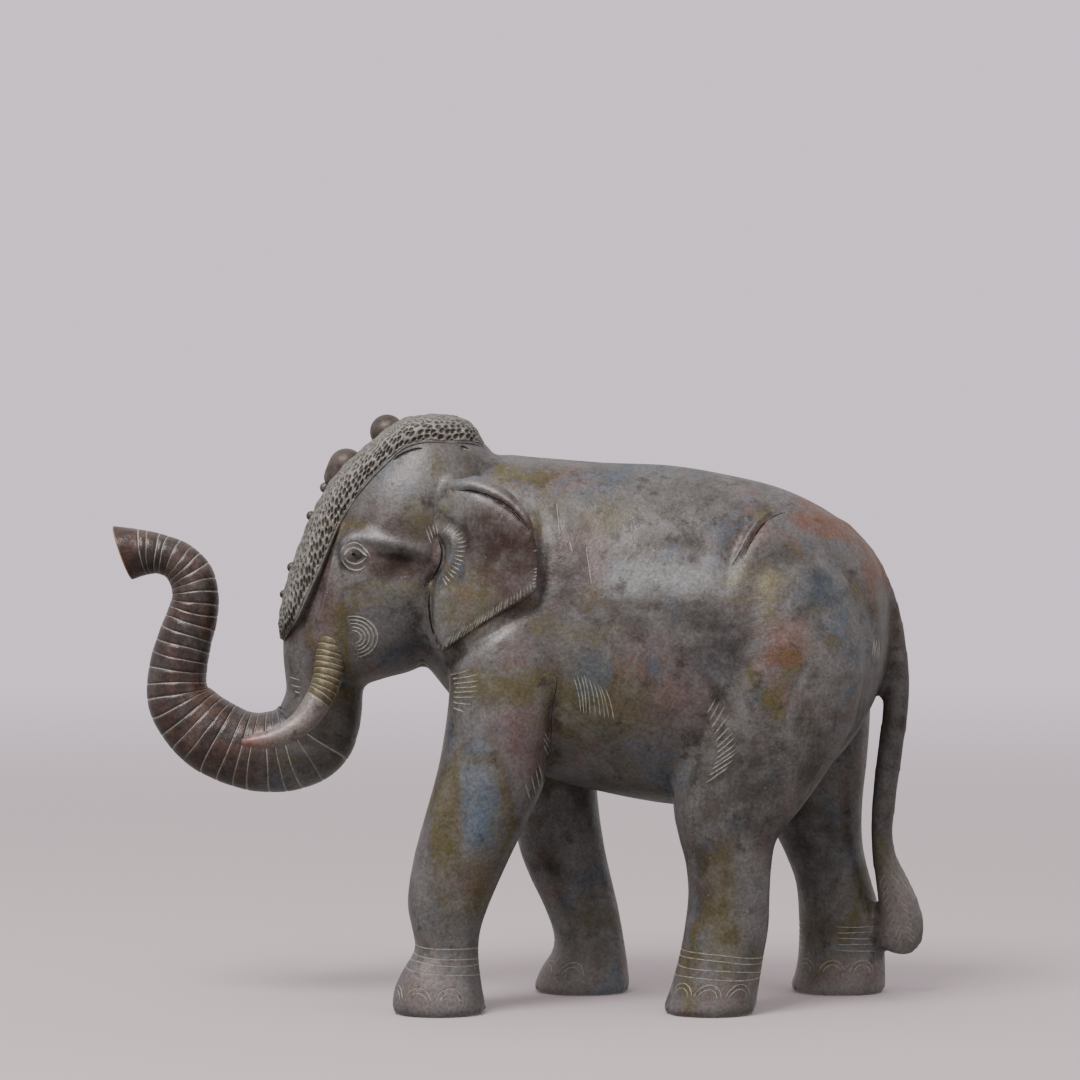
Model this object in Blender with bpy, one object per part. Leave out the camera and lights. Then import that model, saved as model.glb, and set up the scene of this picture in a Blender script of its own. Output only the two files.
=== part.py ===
"""Bronze elephant sculpture, a walking elephant cast in one piece.

The figure faces -X with its left side at -Y, and it stands on the plane z = 0.
Its form is drawn in shares of its own height, and one share is a millimetre at
the real size. Every limb is a closed shell through a few oval cross-sections.
The shells are fused into one body, smoothed as a polished wax would be, and cut
level under the soles.
"""
import bmesh
import bpy
import numpy as np

# Driving sizes, in metres
HEIGHT = 0.2945
SHARES_HIGH = 294.5
SHARE = HEIGHT / SHARES_HIGH
FOOT_SPREAD = 0.082
BODY_WIDTH = 0.124
HEAD_WIDTH = 0.088
EAR_THICKNESS = 0.0058
EAR_RIM = 0.0066
BAND_WIDTH = 0.061
BAND_DEPTH = 0.007
DOME_RADIUS = 0.0086
BEAD_RADIUS = 0.0027
TUSK_SPREAD = 0.062
TAIL_THICKNESS = 0.0132
SOLE_OVERCUT = 0.005

# How finely the fused body is read and how far it is thinned out
VOXEL = 0.0019
SMOOTH_ROUNDS = 4
KEPT_FACES = 0.050

BRONZE_COLOUR = (0.105, 0.086, 0.076, 1.0)
BRONZE_ROUGHNESS = 0.42
BRONZE_METALLIC = 0.75

LEFT = -1.0
RIGHT = 1.0


def curve_through(rows, count):
    """Read `count` rows of a smooth (Catmull-Rom) curve through the given rows."""
    rows = np.asarray(rows, dtype=float)
    at = np.linspace(0.0, len(rows) - 1.0, count)
    first = np.minimum(at.astype(int), len(rows) - 2)
    t = (at - first)[:, None]
    ends = (2.0 * rows[0] - rows[1], 2.0 * rows[-1] - rows[-2])
    padded = np.vstack([ends[0], rows, ends[1]])
    p0, p1, p2, p3 = (padded[first + step] for step in range(4))
    bend = 2.0 * p0 - 5.0 * p1 + 4.0 * p2 - p3
    turn = 3.0 * p1 - p0 - 3.0 * p2 + p3
    return 0.5 * (2.0 * p1 + (p2 - p0) * t + bend * t ** 2 + turn * t ** 3)


def ring_angles(sides):
    """Angles round a cross-section, the last one short of a full turn."""
    return np.linspace(0.0, 2.0 * np.pi, sides, endpoint=False)


def squared(value, power):
    """Sine or cosine of a superellipse: below 1 the oval grows squarer."""
    return np.sign(value) * np.abs(value) ** power


def level_rings(stations, rows, sides=28, power=0.9):
    """Rings in level planes from stations (z, front x, rear x, middle y, half width)."""
    z, front, rear, middle, half = curve_through(stations, rows).T[:, :, None]
    angle = ring_angles(sides)[None, :]
    x = (front + rear) / 2.0 + (rear - front) / 2.0 * squared(np.cos(angle), power)
    y = middle + half * squared(np.sin(angle), power)
    return np.stack([x, y, np.broadcast_to(z, x.shape)], axis=-1)


def upright_rings(stations, rows, sides=36, lean=0.16):
    """Rings across X from stations (x, low z, high z, half width), narrower at the top."""
    x, low, high, half = curve_through(stations, rows).T[:, :, None]
    angle = ring_angles(sides)[None, :]
    z = (low + high) / 2.0 + (high - low) / 2.0 * np.cos(angle)
    y = half * squared(np.sin(angle), 0.85) * (1.0 - lean * np.cos(angle))
    return np.stack([np.broadcast_to(x, z.shape), y, z], axis=-1)


def path_rings(stations, rows, sides=20):
    """Rings square to a path from stations (x, y, z, radius in XZ, radius along Y)."""
    read = curve_through(stations, rows)
    centre, radii = read[:, :3], read[:, 3:]
    along = np.gradient(centre, axis=0)
    up = np.stack([-along[:, 2], np.zeros(rows), along[:, 0]], axis=-1)
    up /= np.linalg.norm(up, axis=1, keepdims=True)
    across = np.cross(along, up)
    across /= np.linalg.norm(across, axis=1, keepdims=True)
    angle = ring_angles(sides)[None, :, None]
    return (centre[:, None] + up[:, None] * radii[:, None, :1] * np.cos(angle)
            + across[:, None] * radii[:, None, 1:] * np.sin(angle))


def ball(centre, radii, rows=11, sides=16):
    """Rings of an ellipsoid about a centre, from its top pole to its foot."""
    polar = np.linspace(0.04, np.pi - 0.04, rows)[:, None]
    angle = ring_angles(sides)[None, :]
    x = np.sin(polar) * np.cos(angle)
    y = np.sin(polar) * np.sin(angle)
    z = np.broadcast_to(np.cos(polar), x.shape)
    return np.asarray(centre) + np.stack([x, y, z], axis=-1) * np.asarray(radii)


def torso_rings():
    """Barrel of the body from the neck to the rump, with a level back."""
    half = BODY_WIDTH / 2.0 / SHARE
    stations = [
        (-66, 190, 246, 0.38 * half), (-48, 170, 256, 0.58 * half),
        (-30, 148, 265, 0.74 * half), (-12, 129, 273, 0.88 * half),
        (10, 114, 272, 0.94 * half), (42, 105, 269.5, 0.98 * half),
        (76, 99, 268, 1.00 * half), (106, 98, 263, 0.99 * half),
        (130, 103, 257, 0.94 * half), (150, 114, 248, 0.83 * half),
        (164.5, 128.5, 238, 0.68 * half), (175.3, 146, 227, 0.50 * half),
        (182.5, 163, 213, 0.27 * half), (186, 179, 202, 0.08 * half)]
    return upright_rings(stations, 40)


def head_rings():
    """Head from the crown to the mouth, wide at the temples and narrow below."""
    half = HEAD_WIDTH / 2.0 / SHARE
    stations = [
        (289, -58, -32, 0, 0.22 * half), (284, -67, -24, 0, 0.50 * half),
        (275, -77, -14, 0, 0.74 * half), (260, -89, -10, 0, 0.90 * half),
        (246, -96, -8, 0, 0.97 * half), (231, -102, -10, 0, 1.00 * half),
        (215, -108, -14, 0, 0.98 * half), (199, -113, -20, 0, 0.92 * half),
        (185, -115, -28, 0, 0.84 * half), (173, -114, -42, 0, 0.74 * half),
        (166, -112, -52, 0, 0.62 * half), (162, -110, -66, 0, 0.50 * half),
        (158.5, -107, -77, 0, 0.36 * half)]
    return level_rings(stations, 34, sides=36, power=1.0)


# Slant of the trunk's open end, and how many times its own length lies before it
TIP_SLANT = 0.33
TIP_ROWS = 5.4


def trunk_rings():
    """Trunk from the face down, forward in a wide bend and up to its flared tip."""
    stations = [
        (-94, 0, 200, 24, 28), (-97.6, 0, 175, 20.6, 25), (-97.4, 0, 156, 19.2, 21.5),
        (-99.5, 0, 143, 20.5, 20.5), (-104.8, 0, 132.4, 21.8, 20), (-115, 0, 126.4, 21, 19.5),
        (-128.5, 0, 124.7, 19.9, 19), (-141, 0, 127, 19, 18.5), (-154, 0, 133.3, 18.9, 17.8),
        (-164, 0, 142, 17.5, 16.6), (-170, 0, 151, 16, 15.4), (-171.2, 0, 160, 14.8, 14.5),
        (-170, 0, 170, 14.3, 13.9), (-167, 0, 182, 13.4, 13.1), (-163.5, 0, 193, 12.6, 12.4),
        (-162, 0, 203, 11.6, 11.7), (-164.2, 0, 212.5, 11.2, 11), (-170.5, 0, 219.8, 10.2, 10.4),
        (-179, 0, 223.4, 10, 10.4), (-189, 0, 224.6, 11.4, 11), (-200, 0, 224.4, 13.4, 12.2)]
    rows = 84
    rings = path_rings(stations, rows, sides=24)
    ramp = np.clip(np.linspace(-TIP_ROWS, 1.0, rows), 0.0, 1.0)[:, None] ** 2
    level = rings[:, :, 2].mean(axis=1, keepdims=True)
    rings[:, :, 0] -= TIP_SLANT * ramp * (rings[:, :, 2] - level)
    return rings


def tusk_rings(side):
    """Tusk out of its lip, down beside the trunk and forward to a blunt tip."""
    spread = TUSK_SPREAD / 2.0 / SHARE
    stations = [
        (-90, 0.72 * spread, 188, 8.4, 8.4), (-92.6, 0.85 * spread, 174, 7.8, 7.8),
        (-94.5, 0.95 * spread, 162, 7.2, 7.2), (-98.5, 1.02 * spread, 152, 6.8, 6.8),
        (-105, 1.08 * spread, 142.6, 6.2, 6.2), (-113, 1.14 * spread, 136.8, 5.4, 5.4),
        (-123, 1.18 * spread, 133, 4.4, 4.4), (-131, 1.20 * spread, 132, 3.1, 3.1),
        (-136, 1.20 * spread, 131.8, 1.4, 1.4)]
    rings = path_rings(stations, 26, sides=16)
    rings[:, :, 1] *= side
    return rings


def leg_rings(stations, side):
    """Leg of one side from stations (z, front x, rear x, inset, half width)."""
    spread = FOOT_SPREAD / 2.0 / SHARE
    rows = [(z, front, rear, side * (spread - inset), half)
            for z, front, rear, inset, half in stations]
    rows.append((-SOLE_OVERCUT / SHARE,) + rows[-1][1:])
    return level_rings(rows, 44, sides=28)


# Left foreleg steps forward and left hind leg stands under the hip
LEFT_FORE = [
    (222, -22, 12, 17, 16), (202, -30, 20, 10, 23), (179, -33.5, 23.5, 5, 26),
    (152, -34.5, 21.5, 2, 25.5), (128, -37.8, 15.5, 1, 24.5), (112, -41.4, 12.5, 0, 23.5),
    (94, -46.5, 4.4, 0, 22), (75, -51.5, -4.8, 0, 20.5), (55, -54.4, -13.7, 0, 19),
    (41, -52.2, -18.6, 0, 17.8), (31, -50.8, -19.8, 0, 17.6), (21, -56.6, -19.2, 0, 19.4),
    (11, -61, -17.8, 0, 21.4), (2, -61.6, -16.2, 0, 22)]
RIGHT_FORE = [
    (222, -6, 28, 17, 16), (202, -12, 34, 10, 23), (179, -13, 37, 5, 26),
    (150, -11, 37.5, 2, 25), (126, -8, 38, 1, 24), (98, -3.5, 40, 0, 22),
    (76, -1, 43, 0, 20), (60, 4.5, 46.4, 0, 18.6), (44, 12.2, 50.2, 0, 17.8),
    (30, 17.2, 52.8, 0, 17.4), (21, 16.8, 54.2, 0, 18.8), (11, 10.6, 55.6, 0, 21),
    (2, 7.2, 56.3, 0, 22)]
LEFT_HIND = [
    (232, 108, 146, 22, 17), (214, 94, 161, 13, 25), (190, 87.5, 168.5, 8, 27.5),
    (165, 83.5, 169.5, 4, 27.5), (142, 80, 164, 2, 26), (122, 76, 153.5, 1, 24.5),
    (102, 75.2, 139.8, 0, 23), (86, 78.2, 127, 0, 21), (73, 81.6, 123.8, 0, 20),
    (58, 82.9, 122.8, 0, 19.4), (42, 81.2, 122.2, 0, 19.2), (28, 78.6, 119.8, 0, 19.4),
    (13, 74.6, 117.4, 0, 21), (2, 70.6, 115.8, 0, 22)]
RIGHT_HIND = [
    (232, 116, 154, 22, 17), (211, 108, 167, 13, 25), (178, 110, 177.5, 6, 26.5),
    (148, 117, 179.5, 3, 25.5), (123, 123, 178.4, 1, 24), (100, 127.5, 176, 0, 22.5),
    (83, 130.6, 175.4, 0, 20.8), (70, 136.4, 176.8, 0, 19.8), (56, 141.6, 180.4, 0, 19.2),
    (40, 143.2, 185, 0, 19.2), (25, 143.3, 187, 0, 19.8), (12, 142, 187.4, 0, 21),
    (2, 139, 187.4, 0, 22)]


def tail_rings():
    """Tail as a ridge down the rump, free below it and over to the right ankle."""
    thick = TAIL_THICKNESS / 2.0 / SHARE
    stations = [
        (160, 0, 238, 0.7 * thick, thick), (173, 0, 222, 0.9 * thick, thick),
        (180.5, 0, 206, thick, thick), (185.2, 0, 190, 1.04 * thick, thick),
        (188, 1, 173, 1.04 * thick, thick), (189.4, 3, 157, 1.02 * thick, thick),
        (188.8, 6, 141, 0.97 * thick, thick), (187, 9, 126, 0.97 * thick, 0.95 * thick),
        (185.4, 12, 111, 0.94 * thick, 0.92 * thick), (184, 15, 96, 0.9 * thick, 0.9 * thick),
        (183.6, 18, 82, 0.85 * thick, 0.85 * thick), (185.4, 20.5, 69, 0.95 * thick, thick),
        (189.6, 22.5, 56, 1.3 * thick, 1.2 * thick), (193, 24, 44, 1.6 * thick, 1.3 * thick),
        (194, 25, 34, 1.78 * thick, 1.25 * thick), (192, 25.5, 27, 1.66 * thick, 1.1 * thick),
        (190.6, 25.5, 21.5, 1.1 * thick, 0.7 * thick)]
    return path_rings(stations, 70, sides=20)


# Rows of the ear: height, front x, rear x, front y in half head widths, rear flare
EAR_ROWS = [
    (262, -31, -20, 0.84, 5), (258, -36.5, -8, 0.865, 10), (250, -38.5, 2.5, 0.885, 16),
    (238, -39.2, 9.4, 0.92, 21), (223, -39.6, 11, 0.945, 21.5), (210, -40.6, 10.8, 0.98, 20),
    (203, -42, 8.2, 1.0, 17.5), (196, -42.6, -6, 1.02, 13), (188, -42, -19.5, 1.035, 9),
    (181, -40.6, -29, 1.035, 5), (175, -38.6, -35, 1.02, 1.5)]
EAR_SWELL = 3.5


def ear_sheet(side, rows, columns):
    """Middle surface of the ear: row by row from its front edge to its rear edge."""
    z, front, rear, root, flare = curve_through(EAR_ROWS, rows).T[:, :, None]
    across = np.linspace(0.0, 1.0, columns)[None, :]
    x = front + (rear - front) * across
    y = root * HEAD_WIDTH / 2.0 / SHARE + flare * across + EAR_SWELL * np.sin(np.pi * across)
    return np.stack([x, side * y, np.broadcast_to(z, x.shape)], axis=-1)


def ear_rings(side):
    """Ear plate as rings round the middle surface, thin at the front and rear edges."""
    half = EAR_THICKNESS / 2.0 / SHARE
    columns = 18
    sheet = ear_sheet(side, 34, columns)
    rounding = np.sqrt(np.clip(1.0 - np.linspace(-1.0, 1.0, columns) ** 8, 0.05, 1.0))
    offset = np.zeros_like(sheet)
    offset[:, :, 1] = half * rounding
    return np.concatenate([sheet + offset, (sheet - offset)[:, ::-1]], axis=1)


def ear_rim_rings(side):
    """Rolled rim along the top and rear edge of the ear."""
    radius = EAR_RIM / 2.0 / SHARE
    sheet = ear_sheet(side, 34, 2)
    edge = sheet[:23, 1]
    thin = np.sin(np.linspace(0.25, 0.85, len(edge)) * np.pi)
    rows = [(x, y, z, radius * share, radius * share)
            for (x, y, z), share in zip(edge, thin)]
    return path_rings(rows, 40, sides=12)


# Edge and ridge of the forehead band: ridge x and z, edge x and z, share of its width
BAND_ROWS = [
    (-17.5, 279.5, -18.5, 277.0, 0.45), (-23.5, 288.6, -25, 279.5, 0.72),
    (-34, 293.6, -35.5, 280.0, 0.90), (-47, 293.8, -47.5, 280.2, 0.96),
    (-58, 291.4, -58, 276.5, 1.00), (-67, 286.0, -67, 268.5, 1.00),
    (-75.5, 279.0, -75.5, 259.6, 1.00), (-88, 268.0, -83, 250.0, 1.00),
    (-96.6, 256.8, -89, 240.5, 1.00), (-104, 243.2, -94, 229.5, 1.00),
    (-110.4, 227.5, -99.5, 216.5, 1.00), (-116, 211.0, -105, 204.0, 0.96),
    (-119.4, 196.0, -110, 191.5, 0.90), (-120, 181.5, -113, 182.0, 0.80)]


def band_rings():
    """Forehead band: half an oval over the ridge, closed by a flat back in the head."""
    ridge_x, ridge_z, edge_x, edge_z, width = curve_through(BAND_ROWS, 44).T[:, :, None]
    half = BAND_WIDTH / 2.0 / SHARE
    angle = np.linspace(-np.pi / 2.0, np.pi / 2.0, 23)[None, :]
    rise = np.cos(angle) ** 0.8
    top = np.stack([edge_x + (ridge_x - edge_x) * rise, half * width * np.sin(angle),
                    edge_z + (ridge_z - edge_z) * rise], axis=-1)
    inward = np.stack([ridge_x - edge_x, 0.0 * ridge_x, ridge_z - edge_z], axis=-1)
    inward = inward / np.linalg.norm(inward, axis=-1, keepdims=True)
    back = (top[:, ::4] * (1.0, 0.94, 1.0)) - inward * BAND_DEPTH / SHARE
    return np.concatenate([top, back[:, ::-1]], axis=1)


# Bosses down the middle of the band: x, z, and radius in DOME_RADIUS or BEAD_RADIUS
DOMES = [(-66.2, 284.9, 1.0), (-86.6, 267.6, 1.04), (-92.0, 262.2, 0.68)]
BEADS = [(-97.2, 256.9, 1.0), (-104.2, 242.8, 0.9), (-113.6, 217.0, 1.0),
         (-117.8, 203.6, 0.8)]


def boss_shells():
    """Domes and beads on the middle line of the band."""
    dome = DOME_RADIUS / SHARE
    bead = BEAD_RADIUS / SHARE
    shells = [ball((x, 0.0, z), (dome * share,) * 3) for x, z, share in DOMES]
    shells += [ball((x, 0.0, z), (bead * share,) * 3) for x, z, share in BEADS]
    return shells


def face_shells(side):
    """Eyeball in its socket and the brow over it."""
    out = side * HEAD_WIDTH / 2.0 / SHARE
    eye = ball((-79.6, 0.86 * out, 223.2), (6.6, 4.6, 6.0))
    brow = path_rings([
        (-88, 0.78 * out, 229, 2.5, 2.5), (-79, 0.875 * out, 231.5, 3.8, 3.8),
        (-66, 0.93 * out, 231, 4.4, 4), (-54, 0.95 * out, 227.5, 3.6, 3)], 16, sides=12)
    return [eye, brow]


def hip_rings(side):
    """Bony ridge that curves over the hip."""
    out = side * BODY_WIDTH / 2.0 / SHARE
    stations = [
        (100, 0.88 * out, 206, 3, 3), (106, 0.80 * out, 222, 4.8, 4.2),
        (112.5, 0.68 * out, 237, 5, 4.4), (122, 0.575 * out, 246, 4.6, 4),
        (134, 0.47 * out, 249, 3, 3)]
    return path_rings(stations, 20, sides=12)


def closed_shell(rings):
    """Points and faces of a shell through rings, with a flat cap at either end."""
    rows, sides = rings.shape[:2]
    grid = np.arange(rows * sides).reshape(rows, sides)
    turned = np.roll(grid, -1, axis=1)
    walls = np.stack([grid[:-1], turned[:-1], turned[1:], grid[1:]], axis=-1)
    faces = walls.reshape(-1, 4).tolist()
    faces.append(grid[0, ::-1].tolist())
    faces.append(grid[-1].tolist())
    return rings.reshape(-1, 3), faces


def mesh_of_shells(name, shells):
    """One mesh that holds every shell, in metres."""
    points, faces, used = [], [], 0
    for rings in shells:
        shell_points, shell_faces = closed_shell(rings)
        points.append(shell_points)
        faces += [[index + used for index in face] for face in shell_faces]
        used += len(shell_points)
    mesh = bpy.data.meshes.new(name)
    mesh.from_pydata((np.vstack(points) * SHARE).tolist(), [], faces)
    return mesh


def bronze_material():
    """Dark brown bronze with a satin patina."""
    material = bpy.data.materials.new("bronze")
    material.use_nodes = True
    shader = material.node_tree.nodes["Principled BSDF"]
    shader.inputs["Base Color"].default_value = BRONZE_COLOUR
    shader.inputs["Roughness"].default_value = BRONZE_ROUGHNESS
    shader.inputs["Metallic"].default_value = BRONZE_METALLIC
    return material


def add_object(name, mesh):
    """Link a mesh to the scene as an object of its name."""
    thing = bpy.data.objects.new(name, mesh)
    bpy.context.scene.collection.objects.link(thing)
    return thing


def sole_cutter():
    """Box below the floor that cuts the soles level."""
    mesh = bpy.data.meshes.new("sole_cutter")
    cutter = add_object("sole_cutter", mesh)
    shape = bmesh.new()
    bmesh.ops.create_cube(shape, size=1.0)
    bmesh.ops.scale(shape, vec=(2.0 * HEIGHT, 2.0 * HEIGHT, 4.0 * SOLE_OVERCUT), verts=shape.verts)
    bmesh.ops.translate(shape, vec=(0.0, 0.0, -2.0 * SOLE_OVERCUT), verts=shape.verts)
    shape.to_mesh(mesh)
    shape.free()
    cutter.hide_render = True
    cutter.display_type = "WIRE"
    return cutter


def elephant():
    """Fuse the shells, smooth and thin the skin, and cut the soles."""
    shells = [torso_rings(), head_rings(), trunk_rings(), tail_rings(), band_rings()]
    shells += [leg_rings(LEFT_FORE, LEFT), leg_rings(RIGHT_FORE, RIGHT)]
    shells += [leg_rings(LEFT_HIND, LEFT), leg_rings(RIGHT_HIND, RIGHT)]
    shells += boss_shells()
    for side in (LEFT, RIGHT):
        shells += [tusk_rings(side), ear_rings(side), ear_rim_rings(side)]
        shells += face_shells(side) + [hip_rings(side)]
    body = add_object("elephant", mesh_of_shells("elephant", shells))
    body.data.materials.append(bronze_material())
    fuse = body.modifiers.new("fuse", "REMESH")
    fuse.mode = "VOXEL"
    fuse.voxel_size = VOXEL
    fuse.use_smooth_shade = True
    polish = body.modifiers.new("polish", "SMOOTH")
    polish.factor = 0.5
    polish.iterations = SMOOTH_ROUNDS
    thin = body.modifiers.new("thin", "DECIMATE")
    thin.ratio = KEPT_FACES
    cut = body.modifiers.new("soles", "BOOLEAN")
    cut.operation = "DIFFERENCE"
    cut.solver = "EXACT"
    cut.object = sole_cutter()
    return body


def stand_over_origin(body):
    """Move the figure so that the middle of its finished box is over the origin."""
    graph = bpy.context.evaluated_depsgraph_get()
    finished = body.evaluated_get(graph)
    points = np.array([vertex.co[:] for vertex in finished.data.vertices])
    middle = (points.min(axis=0) + points.max(axis=0)) / 2.0
    body.location = (-middle[0], -middle[1], 0.0)


for old in list(bpy.data.objects):
    bpy.data.objects.remove(old, do_unlink=True)
stand_over_origin(elephant())
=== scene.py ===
# %% [markdown]
# # A chased bronze elephant
# The object is one bronze casting, finished by hand. It has rings chased round the trunk, a
# punched band over the forehead, combed strokes on the ears and skin, and a patina of many
# rubbed colours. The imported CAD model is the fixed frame, so the first cell loads it and keeps
# its box.

# %% Load the frame
import math

import bmesh
import bpy
import numpy as np
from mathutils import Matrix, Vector
from mathutils.bvhtree import BVHTree


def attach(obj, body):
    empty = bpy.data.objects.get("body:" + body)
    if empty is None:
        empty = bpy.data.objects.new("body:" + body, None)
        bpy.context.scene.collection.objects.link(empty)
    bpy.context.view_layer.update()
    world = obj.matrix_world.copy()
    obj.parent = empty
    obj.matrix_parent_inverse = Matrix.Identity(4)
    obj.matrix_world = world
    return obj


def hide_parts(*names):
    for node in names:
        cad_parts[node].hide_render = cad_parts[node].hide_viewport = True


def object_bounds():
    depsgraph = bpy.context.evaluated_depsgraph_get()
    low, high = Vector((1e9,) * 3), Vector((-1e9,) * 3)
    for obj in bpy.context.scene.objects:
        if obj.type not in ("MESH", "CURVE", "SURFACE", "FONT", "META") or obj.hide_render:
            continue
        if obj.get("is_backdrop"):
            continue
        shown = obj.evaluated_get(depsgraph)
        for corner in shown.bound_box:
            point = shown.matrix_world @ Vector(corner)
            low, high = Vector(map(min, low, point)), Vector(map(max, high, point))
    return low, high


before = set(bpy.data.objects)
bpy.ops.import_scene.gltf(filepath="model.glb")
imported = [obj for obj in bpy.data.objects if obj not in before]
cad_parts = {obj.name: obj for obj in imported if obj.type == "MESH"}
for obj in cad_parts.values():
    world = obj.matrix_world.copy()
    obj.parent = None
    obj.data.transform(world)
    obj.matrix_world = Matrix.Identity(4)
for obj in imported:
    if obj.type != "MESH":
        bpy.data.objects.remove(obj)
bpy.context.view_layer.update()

# %% [markdown]
# ## Units and sides
# The drawing below is in millimetres, because a chased line is about one millimetre wide and
# such numbers are easy to check. Blender works in metres, so points are scaled when they go
# into a mesh. The drawing's middle is a little off the frame's middle, so X is shifted once.
# Handwork is uneven, and one seeded source of chance keeps it the same on every run.

# %% Named sizes, in millimetres
METRES = 0.001
SHIFT_X = -0.91
HALF_BODY = 62.0
HALF_HEAD = 44.0
HALF_BAND = 30.5
HALF_FEET = 41.0
LEFT, RIGHT = -1.0, 1.0
SIDES = (LEFT, RIGHT)
SEED = 11
rng = np.random.default_rng(SEED)


def in_frame(points):
    """Moves drawing points to the frame: x gets the shift, y and z stay."""
    return np.asarray(points, float) + (SHIFT_X, 0.0, 0.0)


print("body", 2 * HALF_BODY, "mm wide, head", 2 * HALF_HEAD, "mm wide")

# %% [markdown]
# ## Curves, rings and shells
# Every limb is a closed tube through a few ovals. A Catmull-Rom curve passes through each
# written row, so a short table gives a smooth limb. Whole arrays are worked out at once, which
# is quick and keeps the shape a plain function of two parameters.

# %% A smooth curve through rows
def curve_through(rows, count):
    """Catmull-Rom: each point is a cubic blend of the four rows nearest to it."""
    rows = np.asarray(rows, float)
    at = np.linspace(0.0, len(rows) - 1.0, count)
    first = np.minimum(at.astype(int), len(rows) - 2)
    t = (at - first)[:, None]
    padded = np.vstack([2.0 * rows[0] - rows[1], rows, 2.0 * rows[-1] - rows[-2]])
    p0, p1, p2, p3 = (padded[first + step] for step in range(4))
    bend = 2.0 * p0 - 5.0 * p1 + 4.0 * p2 - p3
    turn = 3.0 * p1 - p0 - 3.0 * p2 + p3
    return 0.5 * (2.0 * p1 + (p2 - p0) * t + bend * t ** 2 + turn * t ** 3)


def turn_of(sides):
    """Angles round a cross-section, the last one short of a full turn."""
    return np.linspace(0.0, 2.0 * np.pi, sides, endpoint=False)


def squared(value, power):
    """Superellipse sine or cosine: the value's size to a power, with its sign kept."""
    return np.sign(value) * np.abs(value) ** power


# %% Rings across a limb
def level_rings(stations, rows, sides, power=0.9):
    """Ovals in level planes: x from front to rear by cosine, y by half width times sine."""
    z, front, rear, middle, half = curve_through(stations, rows).T[:, :, None]
    angle = turn_of(sides)[None, :]
    x = (front + rear) / 2.0 + (rear - front) / 2.0 * squared(np.cos(angle), power)
    y = middle + half * squared(np.sin(angle), power)
    return np.stack([x, y, np.broadcast_to(z, x.shape)], axis=-1)


def upright_rings(stations, rows, sides, lean=0.16):
    """Ovals across X: z by cosine, y by half width times sine, narrower at the top."""
    x, low, high, half = curve_through(stations, rows).T[:, :, None]
    angle = turn_of(sides)[None, :]
    z = (low + high) / 2.0 + (high - low) / 2.0 * np.cos(angle)
    y = half * squared(np.sin(angle), 0.85) * (1.0 - lean * np.cos(angle))
    return np.stack([np.broadcast_to(x, z.shape), y, z], axis=-1)


def path_frame(stations, rows):
    """A path's centres, its two radii, and unit arrows up and across it at each row."""
    read = curve_through(stations, rows)
    centre, radii = read[:, :3], read[:, 3:]
    along = np.gradient(centre, axis=0)
    up = np.stack([-along[:, 2], np.zeros(rows), along[:, 0]], axis=-1)
    up /= np.linalg.norm(up, axis=1, keepdims=True)
    across = np.cross(along, up)
    across /= np.linalg.norm(across, axis=1, keepdims=True)
    return centre, radii, up, across


def tube(parts, angle, drop=0.0):
    """Ovals square to a path: centre + up (r1 - drop) cos(a) + across (r2 - drop) sin(a)."""
    centre, radii, up, across = parts
    return (centre + up * (radii[..., :1] - drop) * np.cos(angle)[..., None]
            + across * (radii[..., 1:] - drop) * np.sin(angle)[..., None])


def path_rings(stations, rows, sides):
    """A plain tube through a table of centres and radii."""
    return tube([part[:, None] for part in path_frame(stations, rows)], turn_of(sides)[None, :])


def walked(points):
    """Distance walked along a row of points, from the first."""
    steps = np.linalg.norm(np.diff(points, axis=0), axis=1)
    return np.concatenate([[0.0], np.cumsum(steps)])


def fine_path(stations, rows):
    """A path's frame at many rows, with each row's distance from the start."""
    parts = path_frame(stations, rows)
    return parts, walked(parts[0])


def read_at(place, parts, far):
    """Each part of a path's frame, read at distances along it."""
    return [np.stack([np.interp(place, far, part[:, k]) for k in range(part.shape[1])], -1)
            for part in parts]


def ball(centre, radii, rows=24, sides=36):
    """Ellipsoid: sine of the polar angle across, cosine of it up."""
    polar = np.linspace(0.04, np.pi - 0.04, rows)[:, None]
    angle = turn_of(sides)[None, :]
    unit = np.stack([np.sin(polar) * np.cos(angle), np.sin(polar) * np.sin(angle),
                     np.broadcast_to(np.cos(polar), (rows, sides))], axis=-1)
    return np.asarray(centre) + unit * np.asarray(radii)


# %% From rings to one closed mesh
def shell_faces(rows, sides, start):
    """Quads between rings, and a fan of triangles to a pole point at either end."""
    grid = np.arange(rows * sides).reshape(rows, sides) + start
    turned = np.roll(grid, -1, axis=1)
    quads = np.stack([grid[:-1], turned[:-1], turned[1:], grid[1:]], axis=-1).reshape(-1, 4)
    low, high = start + rows * sides, start + rows * sides + 1
    fan_low = np.stack([turned[0], grid[0], np.full(sides, low)], axis=-1)
    fan_high = np.stack([grid[-1], turned[-1], np.full(sides, high)], axis=-1)
    return quads.tolist() + fan_low.tolist() + fan_high.tolist()


def hoop_faces(rows, sides, start):
    """Quads between rings, and from the last ring to the first."""
    grid = np.arange(rows * sides).reshape(rows, sides) + start
    ahead, turned = np.roll(grid, -1, axis=0), np.roll(grid, -1, axis=1)
    both = np.roll(ahead, -1, axis=1)
    return np.stack([grid, turned, both, ahead], axis=-1).reshape(-1, 4).tolist()


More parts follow.
